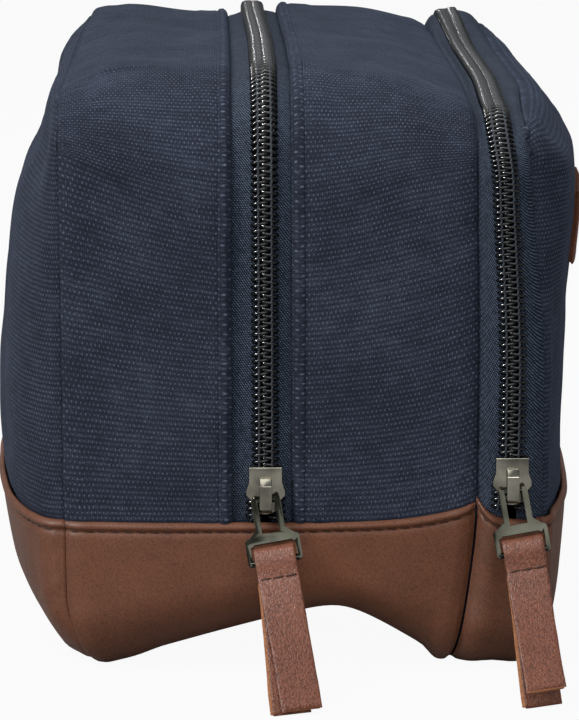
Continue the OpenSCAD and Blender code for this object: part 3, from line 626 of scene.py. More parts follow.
# A sheet of cloth or leather: place gives each row and column its point in mm and its mark on the weave.
def sewCloth(name, rows, cols, place, finish, thick, stands, body="bag", flip=False, rim=None):
    bm = bmesh.new()
    bmesh.ops.create_grid(bm, x_segments=len(cols) - 1, y_segments=len(rows) - 1, size=0.5)
    marks = {}
    for v in bm.verts:
        col = cols[round((v.co.x + 0.5) * (len(cols) - 1))]
        row = rows[round((v.co.y + 0.5) * (len(rows) - 1))]
        point, mark = place(row, col)
        v.co = point * mm
        marks[v] = (mark[0] * mm, mark[1] * mm)
    weave = bm.loops.layers.uv.new("Weave")
    for face in bm.faces:
        for loop in face.loops:
            loop[weave].uv = marks[loop.vert]
    if flip:
        bmesh.ops.reverse_faces(bm, faces=bm.faces)
    piece = finishPiece(name, bm, [finish] + ([rim] if rim else []), stands, body)
    wall = piece.modifiers.new("wall", "SOLIDIFY")
    wall.thickness, wall.offset = thick * mm, -1
    if rim:
        wall.material_offset_rim = 1


hem = {"roll": 1.1, "groove": 0.7, "grooveWidth": 0.6, "puff": 0.6}


def rolled(d, radius):  # how far a folded edge drops at a distance from it
    return 0 if d >= radius else radius - math.sqrt(max(0, radius ** 2 - (radius - d) ** 2))


def hemRelief(d, stitch):  # a folded and stitched edge
    return (hem["puff"] * bump(d - stitch * 0.5, stitch * 0.4) - rolled(d, hem["roll"])
            - hem["groove"] * bump(d - stitch, hem["grooveWidth"]))


# The leather goes round the base from one end's edge to the other's: start, stop and steps of each stretch.
leather = {"fold": 14, "stretches": [(-2.2, -2, 6), (-2, -1, 14), (-1, 1, 76), (1, 2, 14), (2, 2.2, 6)],
           "step": 2.2, "soft": 0.7}


def leatherRuns():
    edge = graded(0, leather["fold"], 1.6, True, False)
    runs = [(-1, e) for e in edge] + [leather["stretches"][0][0]]
    for stretch in leather["stretches"]:
        runs += spread(*stretch)[1:]
    return runs + [(1, e) for e in reversed(edge)]


def baseLeather(bay, name, stands):
    def place(run, across):
        point, normal, along, rearGap, foreGap, zone = gussetSpot(bay, across, run)
        lift = gussetRelief(bay, along, rearGap, foreGap, zone, leather["soft"])
        if isinstance(run, tuple) and run[1] < 9:
            lift += hemRelief(run[1], bag["edgeStitch"])
        if zone == 0:  # the base rests flat
            lift = min(lift, 0)
        return point + normal * lift, (across, along)

    cols = graded(0, bays[bay]["wide"], leather["step"])
    sewCloth(name, leatherRuns(), cols, place, baseHide, bag["leatherThick"], stands,
             flip=True)


baseLeather("main", "mainBaseLeather", ["main_base_leather"])
baseLeather("front", "frontBaseLeather", ["front_base_leather"])
print("base leather made")


# The canvas on both sides of the main zip, folded under and stitched beside it.
zipEdge = {"rear": {"opening": 10, "tunnel": 0.05}, "front": {"opening": 8.4, "tunnel": 0.75}, "stitch": 2.1,
           "doubled": 0.3, "doubledWidth": (8, 10), "groove": 0.9, "wave": 0.35}


def upperRuns():  # from under the leather at one end, over the top and down to the other end's
    under = bag["underlap"]
    near = [(-1, b) for b in (under, under * 0.5, 1.2, 0.3, -0.6, -1.8, -3.4)]
    far = [(1, b) for _, b in reversed(near)]
    wall, arc, top = spread(0.05, 1, 44), spread(0, 1, 26)[1:], spread(0, 1, 36)[1:]
    climb = [3 + f for f in wall] + [4 + f for f in arc] + [5 + f for f in top]
    return near + [-q for q in climb] + climb[-2::-1] + far


def gussetCanvas(name, start, stop, side, stands):
    edgeForm, stitch = zipEdge[side], zipEdge["stitch"]

    def place(run, across):
        point, normal, along, rearGap, foreGap, zone = gussetSpot("main", across, run)
        edge = stop - across if side == "rear" else across - start
        lift = gussetRelief("main", along, rearGap, foreGap, zone) * ease(edge, 0, 6)
        lift += hemRelief(edge, stitch)
        lift += zipEdge["doubled"] * (1 - ease(edge, *zipEdge["doubledWidth"]))
        lift += zipEdge["wave"] * wander(along / 9, 0.3, 21 + start) * bump(edge - 1, 3)
        lift = pressed(lift, tucked(run))
        lift += edgeForm["tunnel"] * tunnel("main", normal) * bump(edge, 8)
        return point + normal * (lift - bag["canvasDepth"]), (across, along)

    sewCloth(name, upperRuns(), graded(start, stop, 1.9), place, canvas, bag["canvasThick"], stands,
             flip=True)


rearEdge, foreEdge = mainZip - zipEdge["rear"]["opening"], mainZip + zipEdge["front"]["opening"]
gussetCanvas("mainCanvasRear", 0, rearEdge, "rear", ["main_gusset_canvas_rear"])
gussetCanvas("mainCanvasFront", foreEdge, mainWide, "front", ["main_gusset_canvas_front"])
print("gusset canvas made")


# The two panels bulge out from their seams. Each pair of powers gives one direction's round form.
panels = {
    "main": {"turn": 1, "seam": lambda z: backSeam(z) + seamHalf, "seed": 31, "bulge": 23,
             "across": (2.5, 0.54), "up": (2.35, 0.58), "low": 0.8},
    "front": {"turn": -1, "seam": lambda z: frontY - seamHalf, "seed": 47, "bulge": 16.5,
              "across": (2.85, 0.63), "foot": (10, 0.44), "head": (14, 0.62)},
}
panelEdge = {"flat": 9, "full": 12, "lean": 15, "turned": 2.2, "rise": 24}  # how far in each effect reaches


def domed(v, power, blunt):
    return max(0, 1 - v ** power) ** blunt


def panelBulge(bay, x, z):
    form = panels[bay]
    q = clamp(z / bag["seamHeight"])
    level = form["bulge"] * domed(min(1, abs(x) / seamX), *form["across"])
    if bay == "main":
        return level * domed(abs(2 * q ** form["low"] - 1), *form["up"])
    return level * domed(1 - q, *form["foot"]) * domed(q, *form["head"])


def cornerDrop(x, radius):  # how far the outline's round corner draws in at x
    e = abs(x) - (seamX - radius)
    return 0 if e <= 0 else radius - math.sqrt(max(0, radius ** 2 - e * e))


def outlineLow(x):
    return cornerDrop(x, bag["baseRadius"])


def outlineHigh(x):
    return bag["seamHeight"] - cornerDrop(x, bag["topRadius"])


def outlineGap(x, z):  # distance in from the seam and the way out to it
    low = z < 80
    r = bag["baseRadius"] if low else bag["topRadius"]
    height = z if low else bag["seamHeight"] - z
    dx, dz = abs(x) - (seamX - r), r - height
    sx, sz = (1 if x > 0 else -1), (-1 if low else 1)
    if dx > 0 and dz > 0:
        reach = math.hypot(dx, dz)
        return r - reach, Vector((sx * dx / max(reach, 1e-6), 0, sz * dz / max(reach, 1e-6)))
    if seamX - abs(x) < height:
        return seamX - abs(x), Vector((sx, 0, 0))
    return height, Vector((0, 0, sz))


# How the filled panels differ from their even bulge, outwards.
plump = {
    "frontTop": 3.6,
    "frontTopHigh": (92, 128),
    "frontTopEnd": (140, 156),
    "frontIn": 1.7,
    "backTop": 3.6,
    "backTopFar": (10, 85),
    "backTopHigh": (100, 150),
    "backFlat": 2.9,
    "backFlatAt": 140,
    "backFlatWide": 9,
    "backFlatNear": (95, 112),
    "backFlatFar": (75, 105),
    "backMiddle": 1.5,
    "backMiddleAt": 70,
    "backMiddleWide": 55,
}


def fullness(bay, x, z):
    if bay == "front":
        top = plump["frontTop"] * ease(z, *plump["frontTopHigh"]) * (1 - 0.6 * ease(z, *plump["frontTopEnd"]))
        return top - plump["frontIn"]
    flat = plump["backFlat"] * bump(z - plump["backFlatAt"], plump["backFlatWide"])
    flat = flat * (1 - ease(-x, *plump["backFlatNear"])) * (1 - ease(x, *plump["backFlatFar"]))
    top = plump["backTop"] * ease(x, *plump["backTopFar"]) * ease(z, *plump["backTopHigh"])
    return top - flat + plump["backMiddle"] * bump(z - plump["backMiddleAt"], plump["backMiddleWide"])


def panelSpot(bay, x, z):
    form = panels[bay]
    step = 0.4

    def height(px, pz):
        inwards, away = outlineGap(px, pz)
        # The bulge has some height on the seam's round corners, which lie flat.
        edge = panelBulge(bay, px + away.x * inwards, pz + away.z * inwards)
        level = panelBulge(bay, px, pz) - edge * (1 - ease(inwards, 0, panelEdge["flat"]))
        level += fullness(bay, px, pz) * ease(inwards, 0, panelEdge["full"])
        shift = 0
        if bay == "front":
            shift = leaning("front", 1, px, pz) * (1 - ease(inwards, 0, panelEdge["lean"]))
        return form["turn"] * level + form["seam"](pz) + shift

    gap, outwards = outlineGap(x, z)
    left, right = clamp(x - step, -seamX, seamX), clamp(x + step, -seamX, seamX)
    under, above = max(0, z - step), min(bag["seamHeight"], z + step)
    slopeX = (height(right, z) - height(left, z)) / (2 * step)
    slopeZ = (height(x, above) - height(x, under)) / (2 * step)
    normal = Vector((-slopeX, 1, -slopeZ)) * form["turn"]
    normal.normalize()
    border = 1 - ease(gap, 0, panelEdge["turned"])
    normal = (normal * (1 - border) + outwards * border).normalized()
    high = rearRise(0, x) * bump(bag["seamHeight"] - z, panelEdge["rise"]) if bay == "main" else 0
    return Vector((x, height(x, z), z + high)), normal, gap


def panelRelief(bay, x, z, gap, amount=1.0):
    seed = panels[bay]["seed"]
    along = x + z if abs(x) < 100 else (z - abs(x)) * 1.07 + 300 * (1 if x > 0 else -1)
    tight = 1 + 0.9 * ease(abs(x), 85, 112) * (ease(z, 110, 150) + ease(-z, -50, -15))
    lift = seamRelief(max(0, gap), along, seed, tight)
    return lift + softRelief(x, z, seed + 3) * ease(gap, 2, 16) * 1.5 * amount


def panelColumns():  # parts of the half length, closer together towards the ends
    half = [math.sin(math.radians(a)) for a in spread(0, 80, 34)]
    right = half + [1 - d / seamX for d in (1.55, 1.1, 0.7, 0.4, 0.15, 0)]
    return [-u for u in reversed(right[1:])] + right


def panelWay(bay):  # way over the bulge to each column, so that the weave stays even on its steep edges
    ways, last = {}, None
    for u in panelColumns():
        spot = Vector((seamX * u, panelBulge(bay, seamX * u, 100), 0))
        ways[u] = ways[last[0]] + (spot - last[1]).length if last else 0
        last = (u, spot)
    return ways


def panelLeather(bay, name, stands):
    top = bag["leatherHeight"]

    def place(row, u):
        x = seamX * u
        low = outlineLow(x)
        z = low + (top - low) * row
        point, normal, gap = panelSpot(bay, x, z)
        lift = panelRelief(bay, x, z, gap, 0.5) + hemRelief(top - z, bag["edgeStitch"])
        return point + normal * lift, (x, z)

    rows = [r / top for r in graded(0, top, 1.7)]
    sewCloth(name, rows, panelColumns(), place, baseHide, bag["leatherThick"], stands,
             flip=panels[bay]["turn"] > 0)


def panelCanvas(bay, name, stands):
    way, start = panelWay(bay), bag["leatherHeight"] - bag["underlap"]

    def place(row, u):
        x = seamX * u
        z = start + (outlineHigh(x) - start) * row
        point, normal, gap = panelSpot(bay, x, z)
        lift = pressed(panelRelief(bay, x, z, gap), underLeather(bag["leatherHeight"] - z), 0.9)
        return point + normal * (lift - bag["canvasDepth"]), (way[u], z)

    span = bag["seamHeight"] - start
    rows = [r / span for r in graded(0, span, 1.9, False, True)]
    sewCloth(name, rows, panelColumns(), place, canvas, bag["canvasThick"], stands,
             flip=panels[bay]["turn"] > 0)


panelLeather("main", "backPanelLeather", ["back_panel_leather"])
panelLeather("front", "frontPanelLeather", ["front_panel_leather"])
panelCanvas("main", "backPanelCanvas", ["back_panel_canvas"])
panelCanvas("front", "frontPanelCanvas", ["front_panel_canvas"])
print("panels made")


tapeLayer = {"thick": 0.6, "slit": 1.6, "reach": 13.75, "inset": 0.15, "wave": 0.12, "seam": 0.6,
             "seamGroove": 1.6, "crown": 0.4, "crownWidth": (3.4, 6.4)}
mainDepth = bag["canvasDepth"] + bag["canvasThick"] + 0.1  # the main tapes lie under the canvas
chainBase = {"main": mainDepth, "front": bag["canvasDepth"]}


def zipTapePiece(bay, name, start, stop, stands):
    def place(run, across):
        point, normal, along, rearGap, foreGap, _ = gussetSpot(bay, across, run)
        middle = abs(across - bays[bay]["zip"])
        lift = tapeLayer["wave"] * wander(along / 11, across / 9, 61)
        if bay == "front":
            seams = seamRelief(rearGap, along, 63, 0.5) + seamRelief(foreGap, along, 65, 0.5)
            grooves = bump(rearGap, tapeLayer["seamGroove"]) + bump(foreGap, tapeLayer["seamGroove"])
            lift += tapeLayer["seam"] * seams
            lift -= zipEdge["groove"] * grooves * tapeLayer["seam"]
        lift += tapeLayer["crown"] * (1 - ease(middle, *tapeLayer["crownWidth"]))
        lift += tunnel(bay, normal) * bump(middle, 10)
        if bay == "main":
            opening = zipEdge["rear" if across < mainZip else "front"]["opening"]
            lift -= zipEdge["groove"] * bump(middle - opening + 0.3, 1.1)
        lift = pressed(lift, tucked(run))
        return point + normal * (lift - chainBase[bay] - tapeLayer["inset"]), (across, along)

    fine = bay == "front"
    cols = graded(start, stop, 1.0, fine, fine)
    sewCloth(name, upperRuns(), cols, place, zipTape, tapeLayer["thick"], stands, flip=True)


slit, reach = tapeLayer["slit"], tapeLayer["reach"]
zipTapePiece("main", "mainTapeRear", mainZip - reach, mainZip - slit, ["main_zip_tape_rear"])
zipTapePiece("main", "mainTapeFront", mainZip + slit, mainZip + reach, ["main_zip_tape_front"])
zipTapePiece("front", "frontTapeRear", 0, frontZip - slit, ["front_zip_tape_rear"])
zipTapePiece("front", "frontTapeFront", frontZip + slit, frontWide, ["front_zip_tape_front"])
print("zip tapes made")


chain = {
    "half": 3.75,
    "thick": 2.7,
    "pitch": 1.84,
    "wire": 0.52,
    "overlap": 0.85,
    "lowEnd": {"main": 44.3, "front": 46.5},
    "sliderLow": {"main": 46.5, "front": 48.6},
    "endGap": 0.3,
    "up": 0.25,
    "parted": 1.7,  # the halves stand apart below the closing part of the slider
    "partedHigh": (5, 9),
    "partedEnd": 0.5,
    "headDrop": 0.35,
    "stepsPerTurn": 10,
}
chainSewing = {"at": 1.75, "zigzag": 0.16, "sunk": 0.45, "wave": 0.3, "radius": 0.3}


def zipPath(bay):
    ex, tz, rt, _, _ = gussetForm(bay, bays[bay]["zip"] / bays[bay]["wide"])
    low = chain["lowEnd"][bay]
    wall, arc, half = tz - rt - low, math.pi / 2 * rt, ex - rt
    total = 2 * (wall + arc + half)

    def at(s):
        side = -1
        if s > total / 2:
            s, side = total - s, 1
        if s < wall:
            return Vector((side * ex, 0, low + s)), Vector((side, 0, 0))
        if s < wall + arc:
            a = (s - wall) / rt
            return (Vector((side * (ex - rt + rt * math.cos(a)), 0, tz - rt + rt * math.sin(a))),
                    Vector((side * math.cos(a), 0, math.sin(a))))
        return Vector((side * (ex - rt - (s - wall - arc)), 0, tz)), Vector((0, 0, 1))

    return at, total


def parting(bay, z, near):
    if not near:
        return 0
    h = z - chain["sliderLow"][bay]
    return chain["parted"] * (1 - ease(h, *chain["partedHigh"])) + chain["partedEnd"] * ease(-h, 0, 3)


# A place on the chain: across from its middle, and a rise above the tape.
def chainSpot(bay, spot, normal, side, across, rise):
    t = bays[bay]["zip"] / bays[bay]["wide"]
    shift = leaning(bay, t, spot.x, spot.z)
    point = spot + normal * (rise + tunnel(bay, normal) - chainBase[bay] + chain["up"])
    point.y = bays[bay]["zipY"] + shift + side * (across + parting(bay, spot.z, spot.x < 0))
    return point


def tube(name, points, radii, wire, finish, stands):
    curve = bpy.data.curves.new(name, "CURVE")
    curve.dimensions = "3D"
    curve.bevel_depth, curve.bevel_resolution = wire * mm, 1
    curve.use_fill_caps = True
    line = curve.splines.new("POLY")
    line.points.add(len(points) - 1)
    for spot, point, radius in zip(line.points, points, radii):
        spot.co = (*(point * mm), 1)
        spot.radius = radius
    holder = bpy.data.objects.new(name + "Curve", curve)
    bpy.context.scene.collection.objects.link(holder)
    graph = bpy.context.evaluated_depsgraph_get()
    bm = bmesh.new()
    bm.from_mesh(bpy.data.meshes.new_from_object(holder.evaluated_get(graph)))
    bpy.data.objects.remove(holder)
    bmesh.ops.remove_doubles(bm, verts=bm.verts, dist=1e-7)
    bmesh.ops.recalc_face_normals(bm, faces=bm.faces)
    finishPiece(name, bm, [finish], stands, "bag")


def coil(bay, name, side, stands):
    at, total = zipPath(bay)
    steps, wire = chain["stepsPerTurn"], chain["wire"]
    count = int((total - 2 * chain["endGap"]) / chain["pitch"]) * steps
    inner, outer, high = -chain["overlap"], chain["half"] - wire, chain["thick"] / 2
    points, radii = [], []
    for k in range(count + 1):
        turns = k / steps
        phase = 2 * math.pi * (turns + (0.5 if side > 0 else 0))
        swing, climb = math.cos(phase), math.sin(phase)
        across = (outer + inner) / 2 + (outer - inner) / 2 * math.copysign(abs(swing) ** 0.8, swing)
        rise = high + (high - wire) * math.copysign(abs(climb) ** 0.85, climb)
        rise -= chain["headDrop"] * max(0, swing) ** 2
        spot, normal = at(turns * chain["pitch"] + chain["endGap"])
        points.append(chainSpot(bay, spot, normal, side, across, rise))
        radii.append(0.92 + 0.2 * bump(swing + 1, 0.5) + 0.14 * bump(swing - 1, 0.4))
    tube(name, points, radii, wire, nylon, stands)


def coilStitches(bay, name, side):
    at, total = zipPath(bay)
    points = []
    for k in range(int(total / chain["pitch"]) * 2 + 1):
        spot, normal = at(k * chain["pitch"] / 2)
        wave = math.cos(math.pi * (k + (0.5 if side > 0 else 1.5)))
        across = chainSewing["at"] + chainSewing["zigzag"] * (-1) ** k
        rise = chain["thick"] - chainSewing["sunk"] + chainSewing["wave"] * wave
        points.append(chainSpot(bay, spot, normal, side, across, rise))
    tube(name, points, [1] * len(points), chainSewing["radius"], coilThread, [])


for bay in ("main", "front"):
    for word, side in (("Rear", 1), ("Front", -1)):
        coil(bay, f"{bay}Coil{word}", side, [f"{bay}_zip_coil_{word.lower()}"])
        coilStitches(bay, f"{bay}CoilThread{word}", side)
print("chains made")


# Sliders, bridges and rings: the solids' own forms with softened edges. Radii in mm, angles in degrees.
metalEdges = {"slider": 0.28, "bridge": 0.22, "ring": 0.5, "flat": 2, "sharp": 28, "shade": 40}


def softened(node, name, radius, finish, body):
    bm = bmesh.new()
    bm.from_mesh(cadNodes[node].data)
    bmesh.ops.remove_doubles(bm, verts=bm.verts, dist=1e-6)
    bmesh.ops.dissolve_limit(bm, angle_limit=math.radians(metalEdges["flat"]), verts=bm.verts, edges=bm.edges)
    sharp = math.radians(metalEdges["sharp"])
    edges = [e for e in bm.edges if len(e.link_faces) == 2 and e.calc_face_angle(0) > sharp]
    bmesh.ops.bevel(bm, geom=edges, offset=radius * mm, offset_type="OFFSET", segments=3, affect="EDGES",
                    profile=0.5, material=-1, clamp_overlap=True)
    bmesh.ops.recalc_face_normals(bm, faces=bm.faces)
    piece = finishPiece(name, bm, [finish], [node], body)
    piece.data.set_sharp_from_angle(angle=math.radians(metalEdges["shade"]))


for bay in ("main", "front"):
    softened(f"{bay}_zip_slider", f"{bay}Slider", metalEdges["slider"], gunmetal, f"{bay}_slider")
    softened(f"{bay}_zip_slider_bridge", f"{bay}Bridge", metalEdges["bridge"], gunmetal, f"{bay}_slider")
    softened(f"{bay}_zip_pull_ring", f"{bay}Ring", metalEdges["ring"], darkWire, f"{bay}_ring")
print("metal made")


# Leather pull tabs: a strip folded over the ring's lower bar and sewn to itself, its front half shorter.
pull = {
    "pivotUp": 4.2,
    "pivotOut": 5.5,
    "lean": 10,
    "ringDrop": 16.6,
    "wide": 11,
    "thick": 1.3,
    "long": 39.4,
    "longer": 1.8,
    "loopTop": 4,
    "bar": 0.85,
    "gap": 0.4,
    "sewnAt": -4.8,
    "tipClear": 2.1,
    "splay": {"main": 0.6, "front": 8},
    "shortFront": {"main": 0.4, "front": 3.4},
    "drift": {"main": 0, "front": 4.2},
    "twist": 15,
    "slip": 2.3,
    "slipTop": 0.25,
    "curl": 0.16,
    "pinch": 0.22,
    "edgePinch": 0.12,
    "roll": 0.35,
    "roughEdge": 0.12,
    "bow": 0.5,
}
tabSewing = {"apart": 3.4, "sunk": 0.12, "slant": 0.06, "long": 3.5, "wide": 0.6, "high": 0.26}
plyHalf = pull["thick"] / 2 + 0.05
loopR = pull["bar"] + pull["gap"] + pull["thick"] / 2
loopY = pull["loopTop"] - pull["thick"] / 2 - loopR
sewnAt = pull["sewnAt"]


def pullFrame(bay):  # at the ring's lower bar: x across, y up the tab, z outwards
    end = gussetForm(bay, bays[bay]["zip"] / bays[bay]["wide"])[0]
    low = chain["sliderLow"][bay]
    start = Matrix.Translation((chainBase[bay] - end, bays[bay]["zipY"], low))
    turned = Matrix(((0, 0, -1, 0), (-1, 0, 0, 0), (0, 1, 0, 0), (0, 0, 0, 1)))
    reach = (pull["ringDrop"] + pull["long"]) * math.cos(math.radians(pull["lean"]))
    hang = math.acos((low + pull["pivotUp"] - pull["tipClear"]) / reach)
    return (start @ turned @ Matrix.Translation((0, pull["pivotUp"], pull["pivotOut"]))
            @ Matrix.Rotation(math.radians(pull["lean"]), 4, "Z") @ Matrix.Rotation(-hang, 4, "X")
            @ Matrix.Translation((0, -pull["ringDrop"], 0)))


def stripHalf(y):
    return plyHalf + (loopR - plyHalf) * ease(y, sewnAt + 0.4, loopY - 0.6)


def stripPath(splay, frontLong):  # middle of the strip, seen from its edge
    rising = [sewnAt + (loopY - sewnAt) * f for f in spread(0, 1, 9)]
    falling = [loopY + (sewnAt - loopY) * f for f in spread(0, 1, 9)]
    hanging = reversed(spread(0.03, 1, 26))
    path = [(sewnAt - (frontLong + sewnAt) * f, plyHalf + splay * f * f) for f in hanging]
    path += [(y, stripHalf(y)) for y in rising]
    path += [(loopY + loopR * math.sin(a), loopR * math.cos(a)) for a in spread(0, math.pi, 14)[1:-1]]
    path += [(y, -stripHalf(y)) for y in falling]
    path += [(sewnAt + (-pull["long"] - pull["longer"] - sewnAt) * f, -plyHalf) for f in spread(0, 1, 26)[1:]]
    return path


def pullTab(bay):
    frameNow = pullFrame(bay)
    path = stripPath(pull["splay"][bay], pull["long"] + pull["longer"] - pull["shortFront"][bay])
    seed = bays[bay]["seed"]

    def place(row, across):
        y, z = path[row]
        behind = row > len(path) / 2
        before, after = path[max(0, row - 1)], path[min(len(path) - 1, row + 1)]
        d = Vector((after[0] - before[0], after[1] - before[1])).normalized()
        out = Vector((-d.y, d.x)) * (pull["thick"] / 2)
        edge = pull["wide"] / 2 - abs(across)
        curl = pull["curl"] * wander(y / 9, across / 6, seed + (0 if row < len(path) / 2 else 4))
        pinch = (pull["pinch"] if edge > 0.8 else pull["edgePinch"]) * bump(y - sewnAt, 0.5)
        sink = rolled(max(0, edge), pull["roll"]) + curl * 0.4 + pinch
        spot = Vector((across, y + out.x, z + out.y)) - Vector((0, out.x, out.y)).normalized() * sink
        rough = pull["roughEdge"] * wander(y / 5, 0.5, seed + 8)
        spot.x += rough * (1 if across > 0 else -1) * ease(abs(across), 4.5, 5.5)
        spot.z += pull["bow"] * wander(y / 14, 0.2, seed + 12) * ease(-y, 8, 30)
        if behind:
            spot.x -= pull["slip"] * ease(-y, 4, 44) + pull["slipTop"] if y < sewnAt else 0
        else:
            spot.x -= pull["drift"][bay] * clamp(-y / 40) ** 1.6
        twist = Matrix.Rotation(math.radians(pull["twist"]) * ease(-y, -1, 26), 4, "Y")
        return frameNow @ twist @ spot, (across, row * 1.2)

    half = pull["wide"] / 2
    cols = [-half, -half + 0.12, -half + 0.4] + spread(-half + 1, half - 1, 8)
    cols += [half - 0.4, half - 0.12, half]
    rows, stands = list(range(len(path))), [f"{bay}_zip_pull_tab"]
    sewCloth(f"{bay}Tab", rows, cols, place, tabHide, pull["thick"], stands, f"{bay}_tab",
             rim=cutEdge)
    return frameNow


def stitchShape(bm, matrix, long, wide, high):
    made = bmesh.ops.create_uvsphere(bm, u_segments=8, v_segments=6, radius=1)
    scale = Matrix.Diagonal((long / 2, wide / 2, high, 1))
    bmesh.ops.transform(bm, matrix=Matrix.Scale(mm, 4) @ matrix @ scale, verts=made["verts"])


def tabStitches(bay, frameNow):
    bm = bmesh.new()
    face = plyHalf + pull["thick"] / 2 - tabSewing["sunk"]
    slant = Matrix.Rotation(tabSewing["slant"], 4, "Z")
    for k in (-1, 0, 1):
        for side in (1, -1):
            spot = Matrix.Translation((k * tabSewing["apart"], sewnAt, side * face))
            stitchShape(bm, frameNow @ spot @ slant, tabSewing["long"], tabSewing["wide"], tabSewing["high"])
    stands = [f"{bay}_zip_tab_stitch"]
    finishPiece(f"{bay}TabStitches", bm, [brownThreadWithPaintedShade], stands, f"{bay}_tab")


for bay in ("main", "front"):
    tabStitches(bay, pullTab(bay))
print("pull tabs made")


# Rows of stitches, in mm. The leather's rows on the gussets have a slant of their own.
edgeRow = {"pitch": 3.55, "long": 3.1, "wide": 0.7, "high": 0.3}
zipRow = {"pitch": 3.1, "long": 2.2, "wide": 0.42, "high": 0.2, "slant": 0}
patchRow = {"pitch": 2.9, "long": 2.3, "wide": 0.6, "high": 0.28, "slant": 0}
edgeSewing = {"up": 0.09, "gussetSlant": 0.16, "seamGap": 1.2}


def facing(point, normal, along):  # a frame with x along the seam and z out of the cloth
    z = normal.normalized()
    x = (along - z * along.dot(z)).normalized()
    y = z.cross(x)
    return Matrix(((x.x, y.x, z.x, point.x), (x.y, y.y, z.y, point.y), (x.z, y.z, z.z, point.z),
                   (0, 0, 0, 1)))


def sewRow(bm, spots, pitch, long, wide, high, slant=0.1):
    way, due = 0, pitch / 2
    for (a, na), (b, nb) in zip(spots, spots[1:]):
        step = (b - a).length
        while way + step >= due:
            k = (due - way) / step
            point, normal = a.lerp(b, k), na.lerp(nb, k)
            stitchShape(bm, facing(point, normal, b - a) @ Matrix.Rotation(slant, 4, "Z"), long, wide, high)
            due += pitch
        way += step


def leatherStitches():
    bm = bmesh.new()
    stitch, gap = bag["edgeStitch"], edgeSewing["seamGap"]
    for bay in ("main", "front"):
        for side in (-1, 1):
            spots = []
            for across in spread(gap, bays[bay]["wide"] - gap, 60):
                point, normal, along, rearGap, foreGap, _ = gussetSpot(bay, across, (side, stitch))
                lift = gussetRelief(bay, along, rearGap, foreGap, 2, leather["soft"])
                lift += hemRelief(stitch, stitch)
                spots.append((point + normal * (lift + edgeSewing["up"]), normal))
            sewRow(bm, spots, **edgeRow, slant=edgeSewing["gussetSlant"] * side)
        spots = []
        for u in panelColumns():
            x, z = seamX * u, bag["leatherHeight"] - stitch
            point, normal, inwards = panelSpot(bay, x, z)
            if inwards > gap:
                lift = panelRelief(bay, x, z, inwards, 0.5) + hemRelief(stitch, stitch)
                spots.append((point + normal * (lift + edgeSewing["up"]), normal))
        sewRow(bm, spots, **edgeRow)
    finishPiece("baseEdgeStitches", bm, [brownThreadWithPaintedShade], ["base_edge_stitching"], "bag")


def zipStitches():
    bm = bmesh.new()
    stitch = zipEdge["stitch"]
    for side, across in (("rear", rearEdge - stitch), ("front", foreEdge + stitch)):
        spots = []
        for run in upperRuns():
            if isinstance(run, tuple) and run[1] >= -0.5:
                continue
            point, normal, along, rearGap, foreGap, zone = gussetSpot("main", across, run)
            lift = gussetRelief("main", along, rearGap, foreGap, zone) * ease(stitch, 0, 6)
            lift += hemRelief(stitch, stitch) + zipEdge["doubled"] - bag["canvasDepth"]
            lift += zipEdge[side]["tunnel"] * tunnel("main", normal) * bump(stitch, 8)
            spots.append((point + normal * lift, normal))
        sewRow(bm, spots, **zipRow)
    finishPiece("zipStitches", bm, [navyThread], ["main_zip_stitching"], "bag")


leatherStitches()
zipStitches()
print("stitches made")


# The leather patch on the front panel, bare, with its edge pressed in along the stitches.
label = {"long": 45, "high": 23, "middle": -66, "z": 120, "thick": 1.6, "border": 2, "sunk": 0.1, "roll": 0.5,
         "pressed": 0.25, "pressedWidth": 0.45, "stitchSunk": 0.3}


def labelSpot(u, v):
    x, z = label["middle"] + u * label["long"] / 2, label["z"] + v * label["high"] / 2
    point, normal, gap = panelSpot("front", x, z)
    lift = panelRelief("front", x, z, gap) - bag["canvasDepth"]
    return point, normal, lift


def patchPiece():
    long, high = label["long"] / 2, label["high"] / 2

    def place(v, u):
        point, normal, lift = labelSpot(u, v)
        edge = min((1 - abs(u)) * long, (1 - abs(v)) * high)
        form = label["thick"] - rolled(edge, label["roll"])
        form -= label["pressed"] * bump(edge - label["border"], label["pressedWidth"])
        return point + normal * (lift + form - label["sunk"]), (u * long, v * high)

    cols = [c / long - 1 for c in graded(0, label["long"], 1.6)]
    rows = [r / high - 1 for r in graded(0, label["high"], 1.6)]
    sewCloth("leatherPatch", rows, cols, place, baseHide, label["thick"] - label["sunk"], ["leather_patch"])


def patchStitches():
    bm = bmesh.new()
    a, b = 1 - label["border"] / (label["long"] / 2), 1 - label["border"] / (label["high"] / 2)
    corners = [(-a, -b), (a, -b), (a, b), (-a, b), (-a, -b)]
    for (u0, v0), (u1, v1) in zip(corners, corners[1:]):
        spots = []
        for k in spread(0, 1, 24):
            point, normal, lift = labelSpot(u0 + (u1 - u0) * k, v0 + (v1 - v0) * k)
            spots.append((point + normal * (lift + label["thick"] - label["stitchSunk"]), normal))
        sewRow(bm, spots, **patchRow)
    finishPiece("patchStitches", bm, [brownThreadWithPaintedShade], ["patch_stitching"], "bag")


patchPiece()
patchStitches()
print("patch made")


# Inside: linings, divider and bound seams.
inside = {
    "depth": 4.0,
    "thick": 0.5,
    "wave": 0.25,
    "opening": {"main": 8, "front": 4},  # from the middle of the zip
    "panelLong": 0.962,  # of the panel's own size
    "panelHigh": 0.943,
    "panelDepth": 5.2,
    "panelSag": 0.4,
    "dividerIn": 5,
    "dividerEdge": 4.5,
}
binding = {"thick": 1.6, "depth": 4.7, "width": 7, "frontWidth": 4, "gap": 0.3, "roll": 0.6, "ends": 5.98}


